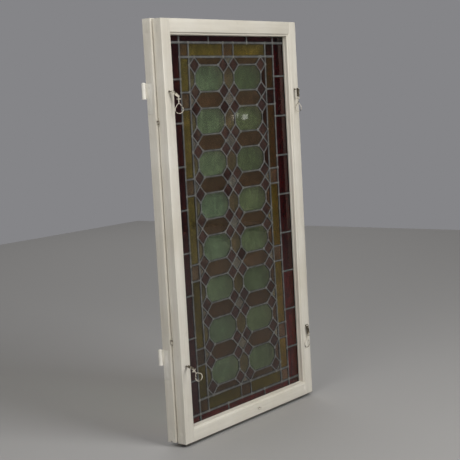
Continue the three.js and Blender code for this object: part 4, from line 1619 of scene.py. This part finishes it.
def laid(x: Vector, y: Vector, at: Vector) -> Matrix:
    """Gives the matrix that lays a piece made flat at the origin in its place.

    Args:
        x: Where the piece's X goes.
        y: Where its Y goes.
        at: Where its origin goes, in millimetres.

    Returns:
        The matrix.
    """
    turn = Matrix((x, y, x.cross(y))).transposed().to_4x4()
    return Matrix.Translation(at * MM) @ turn


def off_wall(x: float, y: float, z: float) -> Matrix:
    """Gives the matrix that lays a turned piece on its side, pointing out of the sash."""
    return laid(Vector((1, 0, 0)), Vector((0, 0, 1)), Vector((x, y, z)))


@dataclass
class WireHook:
    """A screw eye, a flat link and a bent wire loop, held by paint and rust where they stopped.

    Args:
        name: What the CAD calls it.
        eye_at: Where the eye stands on the sash, across and up, in millimetres.
        out: How far the eye's middle stands off the sash.
        neck: How far the teardrop hangs below the link's hole.
        eye_normal: What the eye's ring turns about.
        eye_out: Which side of the ring the link hangs on.
        link_face: Which way the link's flat face looks.
        lean: Which way the link runs.
        drop: Which way the loop hangs.
        spread: Which way the loop widens.
        painted: True if most of the link's paint is left.
    """

    name: str
    eye_at: Point
    out: float
    neck: float
    eye_normal: Vector
    eye_out: Vector
    link_face: Vector
    lean: Vector
    drop: Vector
    spread: Vector
    painted: bool
    face: float = -46.9
    eye_radius: float = 4.3
    wire: float = 1.1
    hang: float = 0.5
    link_half: float = 3.7
    link_thick: float = 1.8
    link_hole: float = 2.4
    link_length: float = 21.5
    ring: float = 3.4
    collar: float = 2.0
    collar_half: float = 6.2
    collar_turns: int = 6
    strand: float = 0.95
    twist: float = 0.75
    loop_radius: float = 11.5
    loop_centre: float = 16.5

    def __post_init__(self) -> None:
        """Squares the directions to each other."""
        for direction in (self.eye_normal, self.eye_out, self.lean, self.drop):
            direction.normalize()
        self.link_face = self.squared(self.link_face, self.lean)
        self.spread = self.squared(self.spread, self.drop)

    @staticmethod
    def squared(direction: Vector, axis: Vector) -> Vector:
        """Gives a direction made square to an axis."""
        return (direction - direction.dot(axis) * axis).normalized()

    def build(self, finishes: Finishes) -> None:
        """Makes and dresses the three pieces.

        Args:
            finishes: The finishes to dress it with.
        """
        centre = Vector((self.eye_at[0], self.face - self.out, self.eye_at[1]))
        upper = centre + self.eye_out * self.eye_radius + self.lean * self.hang
        lower = upper + self.lean * self.link_length
        link_steel = finishes.painted_steel if self.painted else finishes.brown_steel
        steel = {"eye": finishes.brown_steel, "link": link_steel, "loop": finishes.painted_steel}
        pieces = {"eye": self.eye(centre), "link": self.link(upper), "loop": self.loop(lower)}
        for part, piece in pieces.items():
            Bench.smooth(piece, 45)
            node = f"{self.name}_{part}"
            Fitted("inner_sash", "steel_wire", (node,)).fit(piece, f"{node}_wire", steel[part])

    def eye(self, centre: Vector) -> Piece:
        """Bends the screw eye and its shank.

        Args:
            centre: The ring's middle in millimetres.

        Returns:
            The eye.
        """
        ring = Bench.ring(centre, self.eye_normal, self.eye_radius, self.wire)
        start = centre + Vector((0, self.eye_radius, 0))
        end = Vector((centre.x, self.face + 10, centre.z))
        shank = Bench.wire([start, (start + end) / 2, end], self.wire + 0.35)
        collar = Bench.turned((0, 0, 0), [(2.2, 0), (2.9, 0.4), (2.7, 1.2), (1.4, 1.6)], 20)
        collar.data.transform(off_wall(centre.x, self.face, centre.z))
        return Bench.join([ring, shank, collar])

    def link(self, upper: Vector) -> Piece:
        """Makes the link: a flat bar with round ends and a hole in each.

        Args:
            upper: Middle of the upper hole in millimetres.

        Returns:
            The link.
        """
        half, thick, length = self.link_half, self.link_thick, self.link_length
        piece = Bench.block((-half, -half, -thick / 2), (half, length + half, thick / 2))
        Bench.edit(piece, "DESELECT")
        bpy.ops.object.mode_set(mode="OBJECT")
        for edge in piece.data.edges:
            a, b = (piece.data.vertices[i].co for i in edge.vertices)
            edge.select = abs(a.z - b.z) > 0.5 * thick * MM
        bpy.ops.object.mode_set(mode="EDIT")
        bpy.ops.mesh.select_mode(type="EDGE")
        bpy.ops.mesh.bevel(offset=half * 0.98 * MM, segments=7, affect="EDGES")
        bpy.ops.mesh.select_mode(type="VERT")
        Bench.done()
        for y in (0, length):
            Bench.bore(piece, self.link_hole, 4 * thick, (0, y, 0), 20)
        Bench.finish_with(piece, "BEVEL", width=0.3 * MM, segments=2, angle_limit=math.radians(60))
        piece.data.transform(laid(self.lean.cross(self.link_face), self.lean, upper))
        return piece

    def loop(self, hangs_from: Vector) -> Piece:
        """Bends the loop: a ring through the link, a wound collar, a twisted neck and a teardrop.

        Args:
            hangs_from: Middle of the link's lower hole in millimetres.

        Returns:
            The loop.
        """
        down, wide = self.drop, self.spread
        ring_at = hangs_from + down * (self.hang + self.ring)
        ring = Bench.ring(ring_at, wide, self.ring, self.wire)
        collar_at = ring_at + down * (self.ring + self.collar - self.wire)
        stations = []
        pitch = 2 * self.collar_half / self.collar_turns
        crest, valley = self.collar, 0.72 * self.collar
        for i in range(self.collar_turns):
            low = i * pitch - self.collar_half
            stations += [(valley, low), (crest, low + 0.3 * pitch), (crest, low + 0.7 * pitch)]
        stations.append((valley, self.collar_half))
        collar = Bench.turned((0, 0, 0), stations, 14)
        collar.data.transform(laid(down.cross(wide).cross(wide), down.cross(wide), collar_at))
        top = hangs_from + down * self.neck
        start = collar_at + down
        strands = []
        for phase in (0, math.pi):
            points = []
            for i in range(9):
                angle = phase + math.pi * i / 4
                side = math.cos(angle) * wide + math.sin(angle) * down.cross(wide)
                points.append(start.lerp(top + down * self.wire, i / 8) + self.twist * side)
            strands.append(Bench.wire(points, self.strand))
        open_angle = math.acos(self.loop_radius / self.loop_centre)
        points = [top]
        steps = 14
        for i in range(steps + 1):
            angle = open_angle + (2 * math.pi - 2 * open_angle) * i / steps
            across = self.loop_radius * math.sin(angle)
            along = self.loop_centre - self.loop_radius * math.cos(angle)
            points.append(top + wide * across + down * along)
        teardrop = Bench.wire(points, self.wire, closed=True)
        return Bench.join([teardrop, ring, collar, *strands])


HOOKS = (
    WireHook(
        "hook_upper_left", (27, 407), 6.4, 21,
        Vector((0, 0, 1)), Vector((0.61, -0.79, 0)), Vector((-0.79, -0.61, 0.114)),
        Vector((0.396, -0.635, -0.658)), Vector((0, 0, -1)), Vector((0.61, -0.79, 0)), True,
    ),
    WireHook(
        "hook_lower_left", (29, -388), 7, 20,
        Vector((0.44, 0, 0.898)), Vector((-0.266, -0.955, 0.13)), Vector((-0.858, 0.296, 0.42)),
        Vector((-0.341, -0.935, -0.1)), Vector((-0.25, -0.8, -0.545)), Vector((0.333, -0.607, 0.723)), False,
    ),
    WireHook(
        "hook_upper_right", (655, 397), 10.2, 23,
        Vector((0, 0, 1)), Vector((0, -1, 0)), Vector((1, 0, 0)),
        Vector((0, 0.02, -1)), Vector((0, 0.03, -1)), Vector((0, -1, -0.03)), False,
    ),
    WireHook(
        "hook_lower_right", (654.5, -387), 7, 20,
        Vector((1, 0, 0)), Vector((0, 0, -1)), Vector((-0.5, -0.866, 0)),
        Vector((0.2, 0, -1)), Vector((-0.12, 0.08, -1)), Vector((0.99, -0.12, 0)), False,
    ),
)


@dataclass
class RailStud:
    """An oval-headed stud in the bottom rail, thick with paint."""

    x: float = 373.0
    z: float = -599.0
    face: float = -46.9
    half: float = 7.0
    rise: float = 3.0
    out: float = 4.5

    def build(self, finishes: Finishes) -> None:
        """Makes and dresses the stud.

        Args:
            finishes: The finishes to dress it with.
        """
        profile = [(1.0, 0.0), (1.0, 0.5), (0.94, 0.7), (0.8, 0.86), (0.58, 0.96), (0.3, 1.0), (0.06, 1.0)]
        head = Bench.turned((0, 0, 0), [(radius, height * self.out) for radius, height in profile], 28)
        head.data.transform(Matrix.Diagonal((self.half, self.rise, 1, 1)))
        shank = Bench.turned((0, 0, 0), [(1.8, -9.0), (1.8, 0.5)], 20)
        piece = Bench.join([head, shank])
        piece.data.transform(off_wall(self.x, self.face, self.z))
        Bench.smooth(piece, 45)
        place = Fitted("inner_sash", "painted_iron", ("rail_stud",))
        place.fit(piece, "rail_stud_painted", finishes.chipped_steel)


# ------------------------------------------------------------------------------ studio


@dataclass
class Studio:
    """A pale floor, soft light and the camera."""

    floor_z: float = -0.628
    camera_at: tuple[float, float, float] = (-2.4573, -2.1599, 0.3772)
    pan: float = -52.26
    tilt: float = -6.54
    roll: float = -3.15
    lens: float = 89.5
    wall: str = "#858588"
    room: str = "#3A3B3E"
    floor: str = "#A5A3A0"
    floor_size: float = 9.0

    def build(self) -> None:
        """Sets up the floor, the lights and the camera."""
        self.lay_floor()
        self.light()
        self.place_camera()

    def lay_floor(self) -> None:
        """Lays the floor."""
        Bench.clear()
        bpy.ops.mesh.primitive_plane_add(size=self.floor_size, location=(0.35, 0, self.floor_z))
        floor = bpy.context.object
        floor.name = "floor"
        plain = Recipe("studio_floor").finish(Base_Color=linear(self.floor), Roughness=0.75)
        floor.data.materials.append(plain)

    def light(self) -> None:
        """Sets the lamps and a plain world.

        The world is a pale wall behind the window that fades to a dark room in front of it. The
        key lamp stands in front and the fill lamp at the left. A small lamp puts one glint on the
        glass, and the last one lights the floor that shows through the panel.
        """
        scene = bpy.context.scene
        scene.view_settings.view_transform = "Standard"
        world = bpy.data.worlds.new("studio")
        world.use_nodes = True
        nodes, links = world.node_tree.nodes, world.node_tree.links
        way = nodes.new("ShaderNodeTexCoord").outputs["Generated"]
        split = nodes.new("ShaderNodeSeparateXYZ")
        links.new(way, split.inputs[0])
        fade = nodes.new("ShaderNodeMapRange")
        fade.interpolation_type = "SMOOTHSTEP"
        for number, value in ((1, -0.35), (2, 0.35)):
            fade.inputs[number].default_value = value
        links.new(split.outputs["Y"], fade.inputs[0])
        mix = nodes.new("ShaderNodeMix")
        mix.data_type = "RGBA"
        links.new(fade.outputs[0], mix.inputs[0])
        mix.inputs[6].default_value = linear(self.room)
        mix.inputs[7].default_value = linear(self.wall)
        links.new(mix.outputs[2], nodes["Background"].inputs["Color"])
        scene.world = world
        self.lamp("key", (0.3, -3.5, 2.1), (0.35, 0, 0.0), 2.0, 122)
        self.lamp("fill", (-2.2, -0.5, 1.7), (0.0, 0, 0.2), 1.4, 34)
        self.lamp("glint", (1.364, -0.769, 0.27), (0.43, -0.025, 0.317), 0.022, 0.004)
        self.lamp("back", (4.2, 3.4, 3.8), (3.2, 2.4, -0.6), 4.0, 75)

    @staticmethod
    def lamp(name: str, at: Sequence[float], towards: Sequence[float], size: float, power: float) -> None:
        """Adds a square softbox.

        Args:
            name: The lamp's name.
            at: Where it stands, in metres.
            towards: What it faces.
            size: Its side in metres.
            power: Its power in watts.
        """
        data = bpy.data.lights.new(name, "AREA")
        data.size = size
        data.energy = power
        lamp = bpy.data.objects.new(name, data)
        lamp.location = at
        lamp.rotation_euler = (Vector(towards) - Vector(at)).to_track_quat("-Z", "Y").to_euler()
        bpy.context.scene.collection.objects.link(lamp)

    def place_camera(self) -> None:
        """Sets the camera at its place."""
        data = bpy.data.cameras.new("camera")
        data.lens = self.lens
        data.sensor_width = 36
        camera = bpy.data.objects.new("camera", data)
        pan = Matrix.Rotation(math.radians(self.pan), 4, "Z")
        tilt = Matrix.Rotation(math.radians(90 + self.tilt), 4, "X")
        roll = Matrix.Rotation(math.radians(self.roll), 4, "Z")
        camera.matrix_world = Matrix.Translation(self.camera_at) @ pan @ tilt @ roll
        bpy.context.scene.collection.objects.link(camera)
        bpy.context.scene.camera = camera


def main() -> None:
    """Builds the window piece by piece."""
    finishes = Finishes()
    Studio().build()
    parts = (
        Sash("outer", "outer_sash"),
        Sash("inner", "inner_sash", screw_hole=(625.0, -588.7)),
        Trim(),
        LeadedPanel(),
        MainHinge("main_hinge_upper", 436),
        MainHinge("main_hinge_lower", -336),
        CouplingHinge("upper", 321),
        CouplingHinge("lower", -314),
        *HOOKS,
        RailStud(),
    )
    for part in parts:
        part.build(finishes)
    Bench.clear()


if __name__ == "__main__":
    main()
